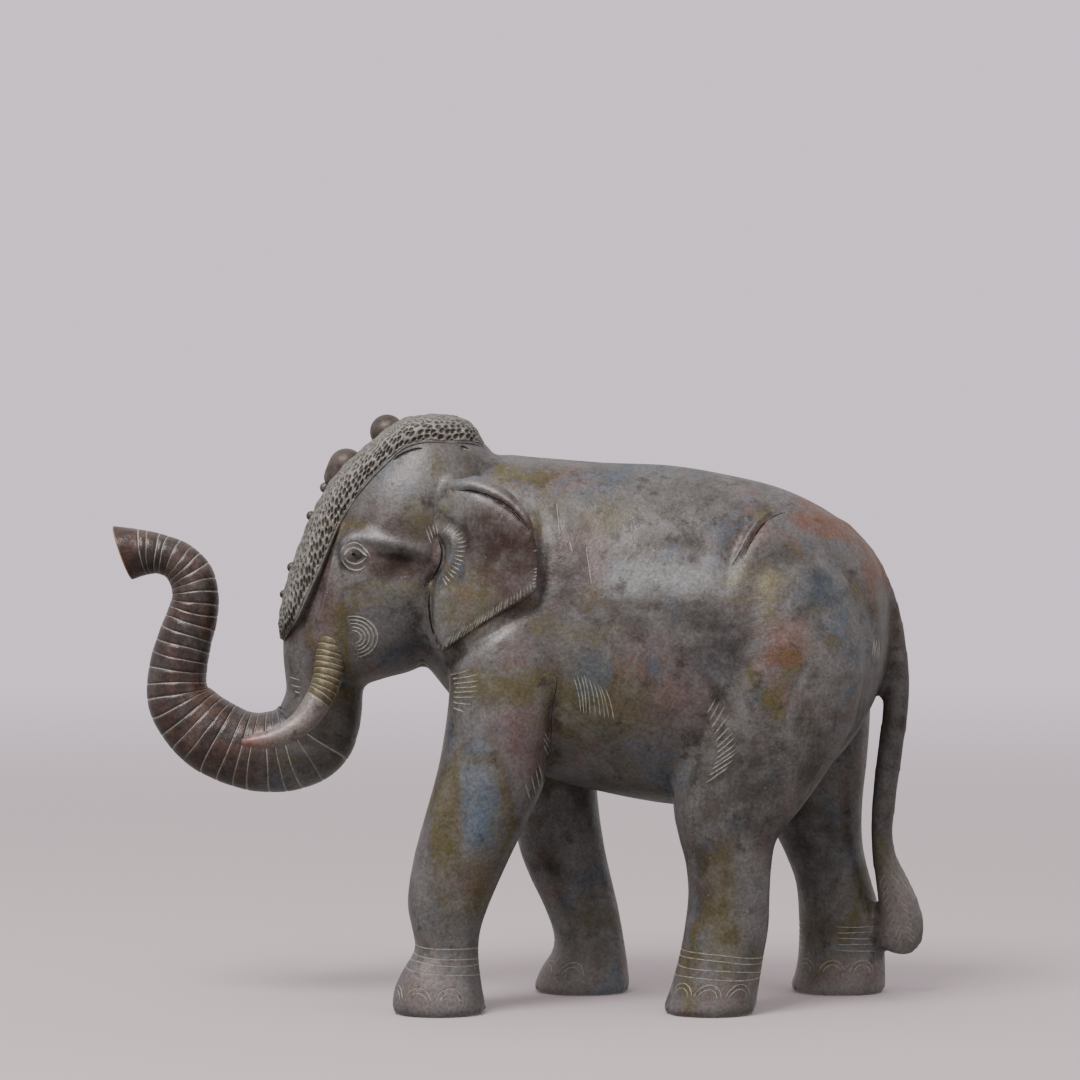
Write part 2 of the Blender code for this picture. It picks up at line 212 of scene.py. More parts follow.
def mesh_of_shells(name, shells):
    """One mesh from closed shells. Each has the mean of its end rings as poles. One that
    is written as ("hoop", rings) has no poles, and is closed on itself."""
    points, faces, used = [], [], 0
    for rings in shells:
        hoop = isinstance(rings, tuple)
        rings = rings[1] if hoop else rings
        rows, sides = rings.shape[:2]
        poles = [] if hoop else [rings[:1].mean(axis=1), rings[-1:].mean(axis=1)]
        points += [rings.reshape(-1, 3), *poles]
        faces += (hoop_faces if hoop else shell_faces)(rows, sides, used)
        used += rows * sides + len(poles)
    mesh = bpy.data.meshes.new(name)
    mesh.from_pydata((np.vstack(points) * METRES).tolist(), [], faces)
    face_outward(mesh)
    return mesh


def face_outward(mesh):
    """Makes the normals point out of a closed mesh."""
    shape = bmesh.new()
    shape.from_mesh(mesh)
    bmesh.ops.recalc_face_normals(shape, faces=shape.faces)
    shape.to_mesh(mesh)
    shape.free()


def put_in_scene(name, data):
    """An object of that name at the origin, linked to the scene."""
    made = bpy.data.objects.new(name, data)
    bpy.context.scene.collection.objects.link(made)
    return made


def add_piece(name, mesh):
    """A mesh as an object with smooth shading."""
    mesh.shade_smooth()
    return put_in_scene(name, mesh)


def apply_modifiers(piece):
    """Keeps the mesh that the modifiers give, and drops the modifiers."""
    graph = bpy.context.evaluated_depsgraph_get()
    done = bpy.data.meshes.new_from_object(piece.evaluated_get(graph))
    piece.modifiers.clear()
    piece.data = done
    return piece


def points_of(mesh):
    """A mesh's points as an array, in millimetres."""
    flat = np.zeros(len(mesh.vertices) * 3, np.float32)
    mesh.vertices.foreach_get("co", flat)
    return flat.reshape(-1, 3).astype(float) / METRES


def set_points(mesh, points):
    """Puts points in millimetres back into a mesh."""
    mesh.vertices.foreach_set("co", (points * METRES).astype(np.float32).ravel())
    mesh.update()


def normals_of(mesh):
    """The points' normals as an array."""
    flat = np.zeros(len(mesh.vertices) * 3, np.float32)
    mesh.vertex_normals.foreach_get("vector", flat)
    return flat.reshape(-1, 3).astype(float)


# %% [markdown]
# ## The body and its limbs
# These tables draw the same limbs as the CAD solid, in millimetres and on finer grids. The
# barrel of the body runs from neck to rump, the head from crown to mouth, and each leg from
# deep in the body to a sole that is slightly rounded at its edge, as in the casting.

# %% Torso and head
def torso_rings():
    """Upright ovals from the neck to the rump."""
    half = HALF_BODY
    stations = [
        (-66, 190, 246, 0.38 * half), (-48, 170, 256, 0.58 * half),
        (-30, 148, 265, 0.74 * half), (-12, 129, 273, 0.88 * half),
        (10, 114, 272, 0.94 * half), (42, 105, 269.5, 0.98 * half),
        (76, 99, 268, 1.00 * half), (106, 98, 263, 0.99 * half),
        (130, 103, 257, 0.94 * half), (150, 114, 248, 0.83 * half),
        (164.5, 128.5, 238, 0.68 * half), (175.3, 146, 227, 0.50 * half),
        (182.5, 163, 213, 0.27 * half), (186, 179, 202, 0.08 * half)]
    return upright_rings(stations, 90, 90)


def head_rings():
    """Level ovals from the crown to the mouth, wide at the temples."""
    half = HALF_HEAD
    stations = [
        (289, -58, -32, 0, 0.22 * half), (284, -67, -24, 0, 0.50 * half),
        (275, -77, -14, 0, 0.74 * half), (260, -89, -10, 0, 0.90 * half),
        (246, -96, -8, 0, 0.97 * half), (231, -102, -10, 0, 1.00 * half),
        (215, -108, -14, 0, 0.98 * half), (199, -113, -20, 0, 0.92 * half),
        (185, -115, -28, 0, 0.84 * half), (173, -114, -42, 0, 0.74 * half),
        (166, -112, -52, 0, 0.62 * half), (162, -110, -66, 0, 0.50 * half),
        (158.5, -107, -77, 0, 0.36 * half)]
    return level_rings(stations, 70, 72, power=1.0)


print("torso and head:", torso_rings().shape, head_rings().shape)

# %% Legs, from rows of height, front, rear, inset and half width
LEFT_FORE = [
    (222, -22, 12, 17, 16), (202, -30, 20, 10, 23), (179, -33.5, 23.5, 5, 26),
    (152, -34.5, 21.5, 2, 25.5), (128, -37.8, 15.5, 1, 24.5), (112, -41.4, 12.5, 0, 23.5),
    (94, -46.5, 4.4, 0, 22), (75, -51.5, -4.8, 0, 20.5), (55, -54.4, -13.7, 0, 19),
    (41, -52.2, -18.6, 0, 17.8), (31, -50.8, -19.8, 0, 17.6), (21, -56.6, -19.2, 0, 19.4),
    (11, -61, -17.8, 0, 21.4), (2.4, -61.8, -16.2, 0, 22)]
RIGHT_FORE = [
    (222, -6, 28, 17, 16), (202, -12, 34, 10, 23), (179, -13, 37, 5, 26),
    (150, -11, 37.5, 2, 25), (126, -8, 38, 1, 24), (98, -3.5, 40, 0, 22),
    (76, -1, 43, 0, 20), (60, 4.5, 46.4, 0, 18.6), (44, 12.2, 50.2, 0, 17.8),
    (30, 17.2, 52.8, 0, 17.4), (21, 16.8, 54.2, 0, 18.8), (11, 10.6, 55.6, 0, 21),
    (2.4, 7.2, 56.3, 0, 22)]
LEFT_HIND = [
    (232, 108, 146, 22, 17), (214, 94, 161, 13, 25), (190, 87.5, 168.5, 8, 27.5),
    (165, 83.5, 169.5, 4, 27.5), (142, 80, 164, 2, 26), (122, 76, 153.5, 1, 24.5),
    (102, 75.2, 139.8, 0, 23), (86, 78.2, 127, 0, 21), (73, 81.6, 123.8, 0, 20),
    (58, 82.9, 122.8, 0, 19.4), (42, 81.2, 122.2, 0, 19.2), (28, 78.6, 119.8, 0, 19.4),
    (13, 74.6, 117.4, 0, 21), (2.4, 70.8, 115.8, 0, 22)]
RIGHT_HIND = [
    (232, 116, 154, 22, 17), (211, 108, 167, 13, 25), (178, 110, 177.5, 6, 26.5),
    (148, 117, 179.5, 3, 25.5), (123, 123, 178.4, 1, 24), (100, 127.5, 176, 0, 22.5),
    (83, 130.6, 175.4, 0, 20.8), (70, 136.4, 176.8, 0, 19.8), (56, 141.6, 180.4, 0, 19.2),
    (40, 143.2, 185, 0, 19.2), (25, 143.3, 187, 0, 19.8), (12, 142, 187.4, 0, 21),
    (2.4, 139, 187.4, 0, 22)]
LEGS = {"left_fore": (LEFT_FORE, LEFT), "right_fore": (RIGHT_FORE, RIGHT),
        "left_hind": (LEFT_HIND, LEFT), "right_hind": (RIGHT_HIND, RIGHT)}
SOLE_ROUND = 1.6


def leg_rings(stations, side):
    """Level ovals down the leg, then three that draw in to round the sole's edge."""
    rows = [(z, front, rear, side * (HALF_FEET - inset), half)
            for z, front, rear, inset, half in stations]
    body = level_rings(rows, 88, 48)
    last = np.array(rows[-1], float)
    ends = []
    for height, pull in ((0.9, 0.25), (0.25, 0.9), (0.0, SOLE_ROUND)):
        row = last + np.array((0, pull, -pull, 0, -pull))
        row[0] = height
        ends.append(row)
    foot = np.stack([level_rings([row, row], 2, 48)[0] for row in ends])
    return np.concatenate([body, foot])


print("legs:", ", ".join(LEGS))


# %% Tail
def tail_rings():
    """Ovals along the tail: a ridge down the rump, then free, then a flat tuft."""
    thick = 6.6
    stations = [
        (160, 0, 238, 0.7 * thick, thick), (173, 0, 222, 0.9 * thick, thick),
        (180.5, 0, 206, thick, thick), (185.2, 0, 190, 1.04 * thick, thick),
        (188, 1, 173, 1.04 * thick, thick), (189.4, 3, 157, 1.02 * thick, thick),
        (188.8, 6, 141, 0.97 * thick, thick), (187, 9, 126, 0.97 * thick, 0.95 * thick),
        (185.4, 12, 111, 0.94 * thick, 0.92 * thick), (184, 15, 96, 0.9 * thick, 0.9 * thick),
        (183.6, 18, 82, 0.85 * thick, 0.85 * thick), (185.4, 20.5, 69, 0.95 * thick, thick),
        (189.6, 22.5, 56, 1.3 * thick, 1.2 * thick), (193, 24, 44, 1.6 * thick, 1.3 * thick),
        (194, 25, 34, 1.78 * thick, 1.25 * thick), (192, 25.5, 27, 1.66 * thick, 1.1 * thick),
        (190.6, 25.5, 21.5, 1.1 * thick, 0.7 * thick)]
    return path_rings(stations, 150, 32)


print("tail:", tail_rings().shape)

# %% [markdown]
# ## The trunk
# The trunk is a thick tube that swings down, forward and up, and it carries some thirty chased
# rings. A grid is the right tool: its rows can be packed closely at each ring and spread out
# between them, so a groove a quarter of a millimetre deep costs few faces. The root of the
# trunk is also part of the fused head, and the chased sleeve starts just outside that root.

# %% Path of the trunk
TRUNK = [
    (-94, 0, 200, 24, 28), (-97.6, 0, 175, 20.6, 25), (-97.4, 0, 156, 19.2, 21.5),
    (-99.5, 0, 143, 20.5, 20.5), (-104.8, 0, 132.4, 21.8, 20), (-115, 0, 126.4, 21, 19.5),
    (-128.5, 0, 124.7, 19.9, 19), (-141, 0, 127, 19, 18.5), (-154, 0, 133.3, 18.9, 17.8),
    (-164, 0, 142, 17.5, 16.6), (-170, 0, 151, 16, 15.4), (-171.2, 0, 160, 14.8, 14.5),
    (-170, 0, 170, 14.3, 13.9), (-167, 0, 182, 13.4, 13.1), (-163.5, 0, 193, 12.6, 12.4),
    (-162, 0, 203, 11.6, 11.7), (-164.2, 0, 212.5, 11.2, 11), (-170.5, 0, 219.8, 10.2, 10.4),
    (-179, 0, 223.4, 10, 10.4), (-189, 0, 224.6, 11.4, 11), (-200, 0, 224.4, 13.4, 12.2)]
TIP_SLANT = 0.33
TIP_SHARE = 1.0 / 6.4
TIP_BACK = 1.9


TRUNK_PARTS, TRUNK_FAR = fine_path(TRUNK, 1200)
TRUNK_LENGTH = TRUNK_FAR[-1]
SLEEVE_START = 62.0
ROOT_OVERLAP = 10.0
ROOT_SHRINK = 1.4
print("trunk:", round(TRUNK_LENGTH), "mm along its middle")


def trunk_root_rings():
    """The part of the trunk that is fused into the head, drawn in where the sleeve covers it."""
    at = np.linspace(0.0, SLEEVE_START + ROOT_OVERLAP, 70)
    shrink = np.clip((at - SLEEVE_START) / 3.0, 0.0, 1.0)[:, None, None] * ROOT_SHRINK
    parts = [part[:, None] for part in read_at(at, TRUNK_PARTS, TRUNK_FAR)]
    return tube(parts, turn_of(60)[None, :], shrink)


# %% Places of the chased rings
def ring_places():
    """Ring distances from the root: the gap between rings narrows towards the tip."""
    places, at = [], SLEEVE_START + 0.2
    while at < TRUNK_LENGTH - 21.0:
        share = at / TRUNK_LENGTH
        gap = np.interp(share, [0.2, 0.36, 0.5, 0.68, 0.8, 0.9, 1.0],
                        [6.2, 6.6, 6.4, 5.8, 4.8, 3.9, 3.4])
        at += gap * rng.uniform(0.82, 1.18)
        places.append(at)
    places += [TRUNK_LENGTH - 14.0, TRUNK_LENGTH - 10.6]
    return np.array(places)


RINGS = ring_places()
RING_HALF = 0.36
RING_DEPTH = 0.27
print(len(RINGS), "rings on the trunk")


# %% The chased sleeve
def sleeve_rows():
    """Row distances: six close rows over each ring and plain ones 1.2 mm apart between."""
    close = np.array([-1.0, -0.62, -0.25, 0.25, 0.62, 1.0]) * RING_HALF
    near = (RINGS[:, None] + close[None, :]).ravel()
    plain = np.arange(SLEEVE_START - 2.0, TRUNK_LENGTH, 1.2)
    clear = np.abs(plain[:, None] - RINGS[None, :]).min(axis=1) > RING_HALF + 0.45
    return np.unique(np.concatenate([near, plain[clear], [TRUNK_LENGTH]]))


def sleeve_body(rows, angle):
    """Tube over the trunk: radius less a groove at each ring. The ring wanders with the
    angle by two slow sines, and a cosine of the angle fades it out on one side."""
    nearest = np.abs(rows[:, None] - RINGS[None, :]).argmin(axis=1)
    phase = rng.uniform(0.0, 2.0 * np.pi, (2, len(RINGS)))
    sway = rng.uniform(0.25, 0.75, len(RINGS))
    fade_at = rng.uniform(0.0, 2.0 * np.pi, len(RINGS))
    fade_by = rng.uniform(-0.3, 0.55, len(RINGS))
    wander = (sway[nearest][:, None] * np.sin(angle + phase[0][nearest][:, None])
              + 0.22 * np.sin(3.0 * angle + phase[1][nearest][:, None]))
    off = (rows - RINGS[nearest])[:, None] + 0.0 * angle
    beside = np.clip(np.abs(off) / 3.0, 0.0, 1.0)
    place = rows[:, None] + wander * np.clip(1.0 - np.abs(off) / 3.0, 0.0, 1.0)
    keep = np.clip(1.15 - fade_by[nearest][:, None]
                   * (1.0 + np.cos(angle - fade_at[nearest][:, None])), 0.0, 1.0)
    groove = np.clip(1.0 - (np.abs(off) / RING_HALF) ** 2, 0.0, 1.0) * keep
    start = np.clip((SLEEVE_START - rows) / 2.0, 0.0, 1.0)[:, None]
    swell = 0.04 * np.sin(beside * np.pi)
    rough = 0.10 * np.sin(5.0 * angle + 0.21 * place) * np.sin(0.33 * place + 2.0 * angle)
    drop = start + groove * RING_DEPTH - swell - rough
    return tube(read_at(place, TRUNK_PARTS, TRUNK_FAR), angle, drop[..., None]), groove


# %% The lip, the cup and the slanted tip
LIP = [(0.5, 0.985), (0.75, 0.94), (0.6, 0.885), (-0.4, 0.845), (-2.2, 0.81), (-4.5, 0.77),
       (-6.8, 0.70), (-8.2, 0.58), (-8.8, 0.42), (-9.0, 0.22), (-9.0, 0.06)]
BARE_LIP = 4


def trunk_cup(rim):
    """Rings in from the rim, each a share of its size and moved along the trunk. Two
    Gaussian dips, one at each side of the middle, are the nostrils."""
    centre = TRUNK_PARTS[0]
    ahead = centre[-1] - centre[-8]
    ahead /= np.linalg.norm(ahead)
    heart = rim.mean(axis=0)
    cup = []
    for out, share in LIP:
        ring = heart + (rim - heart) * share + ahead * out
        if share < 0.72:
            side_on = np.abs((ring - heart)[:, 1]) / 11.0
            hole = np.exp(-((side_on - 0.42) / 0.20) ** 2)
            ring = ring - ahead * (5.0 * hole[:, None])
        cup.append(ring)
    return np.stack(cup)


def slant_tip(points, rows):
    """Leans the end: x less the height over the ring's middle, by the square of a ramp."""
    ramp = np.ones(len(points))
    ramp[:len(rows)] = np.clip((rows / TRUNK_LENGTH - (1.0 - TIP_SHARE)) / TIP_SHARE, 0, 1)
    level = points[:, :, 2].mean(axis=1, keepdims=True)
    points[:, :, 0] -= TIP_SLANT * (ramp[:, None] ** 2) * (points[:, :, 2] - level)
    points[:, :, 0] += TIP_BACK * (ramp[:, None] ** 2)


def trunk_sleeve():
    """The tube and its cup on one grid, and what the shader reads on it."""
    rows = sleeve_rows()
    body, groove = sleeve_body(rows, turn_of(112)[None, :])
    points = np.concatenate([body, trunk_cup(body[-1])])
    slant_tip(points, rows)
    residue, hollow, bare = np.zeros((3, *points.shape[:2]))
    residue[:len(rows)] = groove
    # Inside the cup the hollow mark paints shade, near black.
    hollow[len(rows) + BARE_LIP:] = 1.0
    bare[len(rows) - 1:len(rows) + BARE_LIP] = 1.0
    return points, {"residue": residue, "hollow": hollow, "bare": bare}


# %% [markdown]
# ## Putting values on points
# A groove needs its own colour, so each piece carries numbers on its points or faces. Residue
# is pale polish left in a line, hollow is painted shade, near black, in creases and deep places,
# and bare is rubbed metal.
# Later pieces add their own: raised, sheath, tip, pit and boss. The shader reads them by name,
# and they move with the surface.

# %% Attribute helpers
def give_points(mesh, values):
    """Writes arrays of one number a point as float attributes."""
    for name, numbers in values.items():
        mark = mesh.attributes.new(name, "FLOAT", "POINT")
        mark.data.foreach_set("value", np.asarray(numbers, np.float32).ravel())


def with_poles(numbers):
    """Flattens ring values and repeats the end rings' means for the two poles."""
    return np.concatenate([numbers.ravel(), [numbers[0].mean(), numbers[-1].mean()]])


sleeve_points, sleeve_values = trunk_sleeve()
trunk = add_piece("trunk", mesh_of_shells("trunk", [in_frame(sleeve_points)]))
give_points(trunk.data, {n: with_poles(v) for n, v in sleeve_values.items()})
print("trunk sleeve:", len(trunk.data.polygons), "faces")

# %% [markdown]
# ## The ears
# Each ear is a thin curved plate that stands off the neck, rolled over along its top and rear
# edge. It grows out of the head with no seam at the front, so it goes into the fused skin too.

# %% Ear plate and its rolled rim
EAR_ROWS = [
    (262, -31, -21, 0.84, 5), (258, -36.5, -10, 0.865, 10), (250, -38.5, -0.5, 0.885, 16),
    (238, -39.2, 6.6, 0.92, 21), (223, -39.6, 9.0, 0.945, 21.5), (211, -40.6, 9.0, 0.98, 20.5),
    (205, -42, 7.4, 1.0, 18.5), (196, -42.6, -6.5, 1.02, 13), (188, -42, -19.5, 1.035, 9),
    (181, -40.6, -30, 1.035, 5), (176, -38.6, -36.5, 1.02, 1.5)]
EAR_THICK = 5.2
EAR_RIM = 3.6
EAR_SWELL = 3.5


def ear_out(root, flare, across):
    """How far the ear stands out: its root, a straight flare, and a sine swell between."""
    return root * HALF_HEAD + flare * across + EAR_SWELL * np.sin(np.pi * across)


def ear_sheet(side, rows, columns):
    """Middle surface: each level row runs straight back and flares out, with a sine swell."""
    z, front, rear, root, flare = curve_through(EAR_ROWS, rows).T[:, :, None]
    across = np.linspace(0.0, 1.0, columns)[None, :]
    x = front + (rear - front) * across
    y = ear_out(root, flare, across)
    return np.stack([x, side * y, np.broadcast_to(z, x.shape)], axis=-1)


def ear_rings(side):
    """The sheet moved out and in by half its thickness, less towards its edges."""
    columns = 40
    sheet = ear_sheet(side, 70, columns)
    rounding = np.sqrt(np.clip(1.0 - np.linspace(-1.0, 1.0, columns) ** 8, 0.05, 1.0))
    offset = np.zeros_like(sheet)
    offset[:, :, 1] = EAR_THICK / 2.0 * rounding
    return np.concatenate([sheet + offset, (sheet - offset)[:, ::-1]], axis=1)


def ear_rim_rings(side):
    """A tube along the top edge of the sheet, thin at its two ends."""
    edge = ear_sheet(side, 34, 2)[:14, 1]
    thin = np.sin(np.linspace(0.25, 0.95, len(edge)) * np.pi)[:, None] * EAR_RIM / 2.0
    return path_rings(np.hstack([edge, thin, thin]), 80, 20)


print("ear plate:", ear_rings(LEFT).shape)

# %% [markdown]
# ## The fused skin
# The founder worked one wax, so the limbs run into each other with no seams. A voxel remesh
# does the same: it wraps all the closed tubes in one even skin. A smoothing that swells back
# as much as it shrinks then softens the joins, as a thumb softens wax.

# %% Brow and eyeball as small shells
def face_shells(side):
    """Eyeball in its socket and the brow over it."""
    out = side * HALF_HEAD
    eye = ball((-80.0, 0.825 * out, 223.4), (7.6, 4.6, 6.6))
    brow = path_rings([
        (-88, 0.775 * out, 229, 2.2, 2.2), (-79, 0.865 * out, 231.5, 3.2, 3.2),
        (-66, 0.915 * out, 231, 3.6, 3.4), (-54, 0.935 * out, 227.5, 3.0, 2.6)], 30, 20)
    return [eye, brow]


# %% Fuse them
SKIN_VOXEL = 2.45
shells = [torso_rings(), head_rings(), trunk_root_rings(), tail_rings()]
shells += [leg_rings(rows, side) for rows, side in LEGS.values()]
for side in SIDES:
    shells += face_shells(side) + [ear_rings(side), ear_rim_rings(side)]
skin = add_piece("elephant_body", mesh_of_shells("elephant_body", [in_frame(s) for s in shells]))
fuse = skin.modifiers.new("fuse", "REMESH")
fuse.mode = "VOXEL"
fuse.voxel_size = SKIN_VOXEL * METRES
fuse.use_smooth_shade = True
apply_modifiers(skin)
print("fused skin:", len(skin.data.polygons), "faces")


# %% Smooth the joins
def edges_of(mesh):
    """Point numbers at the two ends of each edge."""
    flat = np.zeros(len(mesh.edges) * 2, np.int32)
    mesh.edges.foreach_get("vertices", flat)
    return flat.reshape(-1, 2)


def mean_beside(points, edges):
    """The mean of the points at the other ends of each point's edges."""
    count = len(points)
    total = np.zeros_like(points)
    for axis in range(3):
        total[:, axis] = (np.bincount(edges[:, 0], points[edges[:, 1], axis], count)
                          + np.bincount(edges[:, 1], points[edges[:, 0], axis], count))
    return total / np.bincount(edges.ravel(), minlength=count)[:, None]


def smooth_points(points, edges, rounds, weight=1.0):
    """Taubin smoothing: a step to the neighbours' mean, then a slightly longer step back."""
    for _ in range(rounds):
        for step in (0.5, -0.52):
            points = points + step * weight * (mean_beside(points, edges) - points)
    return points


body = points_of(skin.data)
edges = edges_of(skin.data)
near_floor = np.clip((body[:, 2] - 1.0) / 4.0, 0.05, 1.0)[:, None]
body = smooth_points(body, edges, 14, near_floor)
body[:, 2] = np.maximum(body[:, 2], 0.0)
set_points(skin.data, body)
print("skin box, mm:", body.min(0).round(1), body.max(0).round(1))

# %% [markdown]
# ## Drawing on the skin
# Brow, folds and chased strokes are placed where they are seen. A stroke is written as places
# in a picture 1080 across, and a ray from the camera lays each place on the skin, so the stroke
# bends with the form. The right side gets the same strokes by rays straight through.

# %% Camera place and rays
CAMERA_AT = (9.34, -1750.0, 230.7)
PICTURE = 1080.0
FOCUS = 3500.0
BESIDE = 200.0


def tree_of(piece):
    """A search tree of the piece's faces."""
    return BVHTree.FromObject(piece, bpy.context.evaluated_depsgraph_get())


def hit(tree, start, way):
    """Where a ray from a start meets the piece: a list of one point and normal, or none."""
    place, normal, _, _ = tree.ray_cast(Vector(start) * METRES, way)
    return [] if place is None else [(*(place / METRES), *normal)]


def laid(tree, picture):
    """Where rays from the camera through picture places meet the piece: points, normals."""
    found = []
    for x, y in picture:
        way = Vector((x - PICTURE / 2.0, FOCUS, PICTURE / 2.0 - y)).normalized()
        found += hit(tree, CAMERA_AT, way)
    return np.array(found).reshape(-1, 6)


def mirrored(tree, found):
    """The same places on the right side, by rays along -Y."""
    other = []
    for x, _, z in found[:, :3]:
        other += hit(tree, (x, BESIDE, z), Vector((0, -1, 0)))
    return np.array(other).reshape(-1, 6)


def both_sides(tree, picture, spacing=3.0, least=3):
    """A picture path laid on the left side and again on the right."""
    picture = np.asarray(picture, float)
    length = np.linalg.norm(np.diff(picture, axis=0), axis=1).sum()
    left = laid(tree, curve_through(picture, max(least, int(length / spacing))))
    return [left, mirrored(tree, left)]


# %% How near points are to a path
def nearness(points, path, width, blunt=False):
    """Gaussian of the distance to the path, faded by a sine over the path unless blunt."""
    reach = 2.6 * width
    inside = np.all((points > path.min(0) - reach) & (points < path.max(0) + reach), axis=1)
    near = points[inside]
    best = np.full(len(near), np.inf)
    share = np.zeros(len(near))
    for k, (a, b) in enumerate(zip(path[:-1], path[1:])):
        step = b - a
        t = np.clip((near - a) @ step / max(step @ step, 1e-9), 0.0, 1.0)
        gap = np.linalg.norm(near - a - t[:, None] * step, axis=1)
        share = np.where(gap < best, (k + t) / (len(path) - 1), share)
        best = np.minimum(gap, best)
    fade = 1.0 if blunt else np.sin(np.pi * np.clip(0.12 + 0.76 * share, 0.0, 1.0))
    value = np.zeros(len(points))
    value[inside] = np.exp(-(best / width) ** 2) * fade
    return value


# %% [markdown]
# ## Folds, hollows and ridges
# A sculptor presses and raises the wax with a thumb or a loop. Here each press follows a path
# and moves points along their normals. The skin is cut finer first where a press is narrow,
# and the remesh has rounded the edges of the ears, so they are drawn back to a clean plate.

# %% Presses: picture path, width, and millimetres out or in
PRESSES = {
    "brow": ([(342, 541), (356, 537.5), (374, 540), (394, 543.5), (414, 548.5),
              (428, 556)], 2.4, 1.2),
    "under the brow": ([(371, 556), (386, 558), (402, 560), (417, 563)], 2.2, -1.8),
    "temple hollow": ([(382, 567), (394, 568), (405, 568), (416, 567)], 6.2, -4.2),
    "socket": ([(337, 548), (337, 558), (342, 568), (352, 573), (365, 571)], 1.8, -0.8),
    "ridge of the face": ([(343, 522), (337, 545), (332, 572), (326, 598), (319, 620)], 1.6, 1.5),
    "channel by the band": (
        [(337, 535), (325, 562), (316, 588), (305, 614), (300, 628)], 2.6, -0.9),
    "cheek": ([(372, 622), (378, 640), (380, 655)], 10.0, 1.2),
    "ear notch": ([(438, 538), (441, 545), (442, 553), (440.5, 562), (436, 572),
                   (429, 582)], 1.9, -2.6),
    "ear root": ([(425, 528), (427, 548), (424, 570), (422, 590)], 4.0, 1.0),
    "curl of the ear": ([(437, 582), (444, 574), (450, 564), (454, 552), (453, 541), (447, 534),
                         (440, 532)], 2.2, 1.5),
    "outside the curl": ([(446, 588), (456, 577), (463, 563), (466, 547), (462, 532),
                          (452, 524)], 3.0, -1.1),
    "front edge of the ear": (
        [(430, 586), (429, 604), (431, 624), (436, 641), (441, 652)], 1.6, -1.8),
    "ear's roll": ([(458, 483), (484, 487), (505, 497), (521, 510), (531, 523)], 2.4, 0.5),
    "groove under the ear's roll": (
        [(452, 490), (474, 491), (495, 499), (514, 512), (529, 530)], 1.4, -1.3),
    "ear bowl": ([(480, 530), (495, 550), (490, 580)], 11.0, -1.4),
    "hem": ([(446, 645), (470, 628), (500, 610), (530, 590)], 1.8, 0.6),
    "behind the ear": ([(541, 515), (543, 550), (541, 585), (537, 600)], 3.0, -1.3),
    "under the ear": ([(536, 604), (515, 618), (486, 636), (462, 653), (447, 665)], 3.0, -1.5),
    "knob behind the band": ([(461, 446), (467, 449)], 1.5, -1.8),
    "rear of the shoulder": (
        [(553, 664), (557, 690), (554, 712), (552, 734), (551, 757), (545, 778)], 2.6, -2.2),
    "shoulder": ([(505, 705), (500, 740), (480, 800)], 15.0, 1.5),
    "front of the thigh": ([(674, 806), (688, 775), (702, 742), (714, 704)], 4.0, -1.6),
    "hip fold": ([(735, 560), (742, 547), (749, 534), (757, 523), (766, 515), (774, 512)], 1.5, 1.5),
    "hip crease": ([(744, 556), (749, 546), (754, 537), (760, 529), (767, 521)], 0.9, -0.9),
    "valley before the hip": ([(722, 592), (729, 566), (738, 540), (752, 514)], 5.5, -1.9),
    "hollow of the flank": ([(690, 575), (706, 552), (722, 535)], 12.0, -1.2),
    "neck fold": ([(557, 498), (560, 520), (561, 540)], 1.8, -0.35),
    "second neck fold": ([(585, 540), (589, 560), (591, 582)], 2.0, -0.3),
    "beside the tail": ([(868, 600), (876, 625), (879, 650)], 3.5, -1.6),
}
NARROW = 4.0
FINE = 1.6
skin_tree = tree_of(skin)
presses = {name: (both_sides(skin_tree, path), width, push)
           for name, (path, width, push) in PRESSES.items()}
eye_marks = both_sides(skin_tree, [(345, 556), (352, 554), (362, 555)])
print(len(presses), "presses on each side")


# %% Cut the skin finer where a press is narrow
def cut_finer(mesh, wanted):
    """Halves the edges whose two points are both wanted."""
    shape = bmesh.new()
    shape.from_mesh(mesh)
    shape.verts.ensure_lookup_table()
    chosen = [e for e in shape.edges if wanted[e.verts[0].index] and wanted[e.verts[1].index]]
    bmesh.ops.subdivide_edges(shape, edges=chosen, cuts=1, use_grid_fill=True)
    shape.to_mesh(mesh)
    shape.free()


def near_presses(points, widest, margin):
    """True at the points near a press that is no wider than the widest."""
    wanted = np.zeros(len(points), bool)
    for sides, width, _ in presses.values():
        if width <= widest:
            for found in sides:
                wanted |= nearness(points, found[:, :3], width + margin, blunt=True) > 0.25
    return wanted


wanted = near_presses(body, NARROW, 1.0)
for found in eye_marks:
    wanted |= nearness(body, found[:, :3], 9.0, blunt=True) > 0.3
ear_edges = [in_frame(ear_sheet(side, 60, 2)[:, 1]) for side in SIDES]
for path in ear_edges:
    wanted |= nearness(body, path, 4.5, blunt=True) > 0.3
cut_finer(skin.data, wanted)
body = smooth_points(points_of(skin.data), edges_of(skin.data), 2)
wanted = near_presses(body, FINE, 0.8)
set_points(skin.data, body)
cut_finer(skin.data, wanted)
body = smooth_points(points_of(skin.data), edges_of(skin.data), 1)
body[:, 2] = np.maximum(body[:, 2], 0.0)
set_points(skin.data, body)
print("skin after cutting:", len(skin.data.polygons), "faces")

# %% Sharpen the edges of the ears
EAR_NEAR = 4.5


def on_ear(points):
    """True where a point lies near the middle surface of an ear."""
    z, *parts = curve_through(EAR_ROWS, 80)[::-1].T
    front, rear, root, flare = (np.interp(points[:, 2], z, part) for part in parts)
    across = np.clip((points[:, 0] - SHIFT_X - front) / (rear - front), 0.0, 1.0)
    return np.abs(np.abs(points[:, 1]) - ear_out(root, flare, across)) < EAR_NEAR


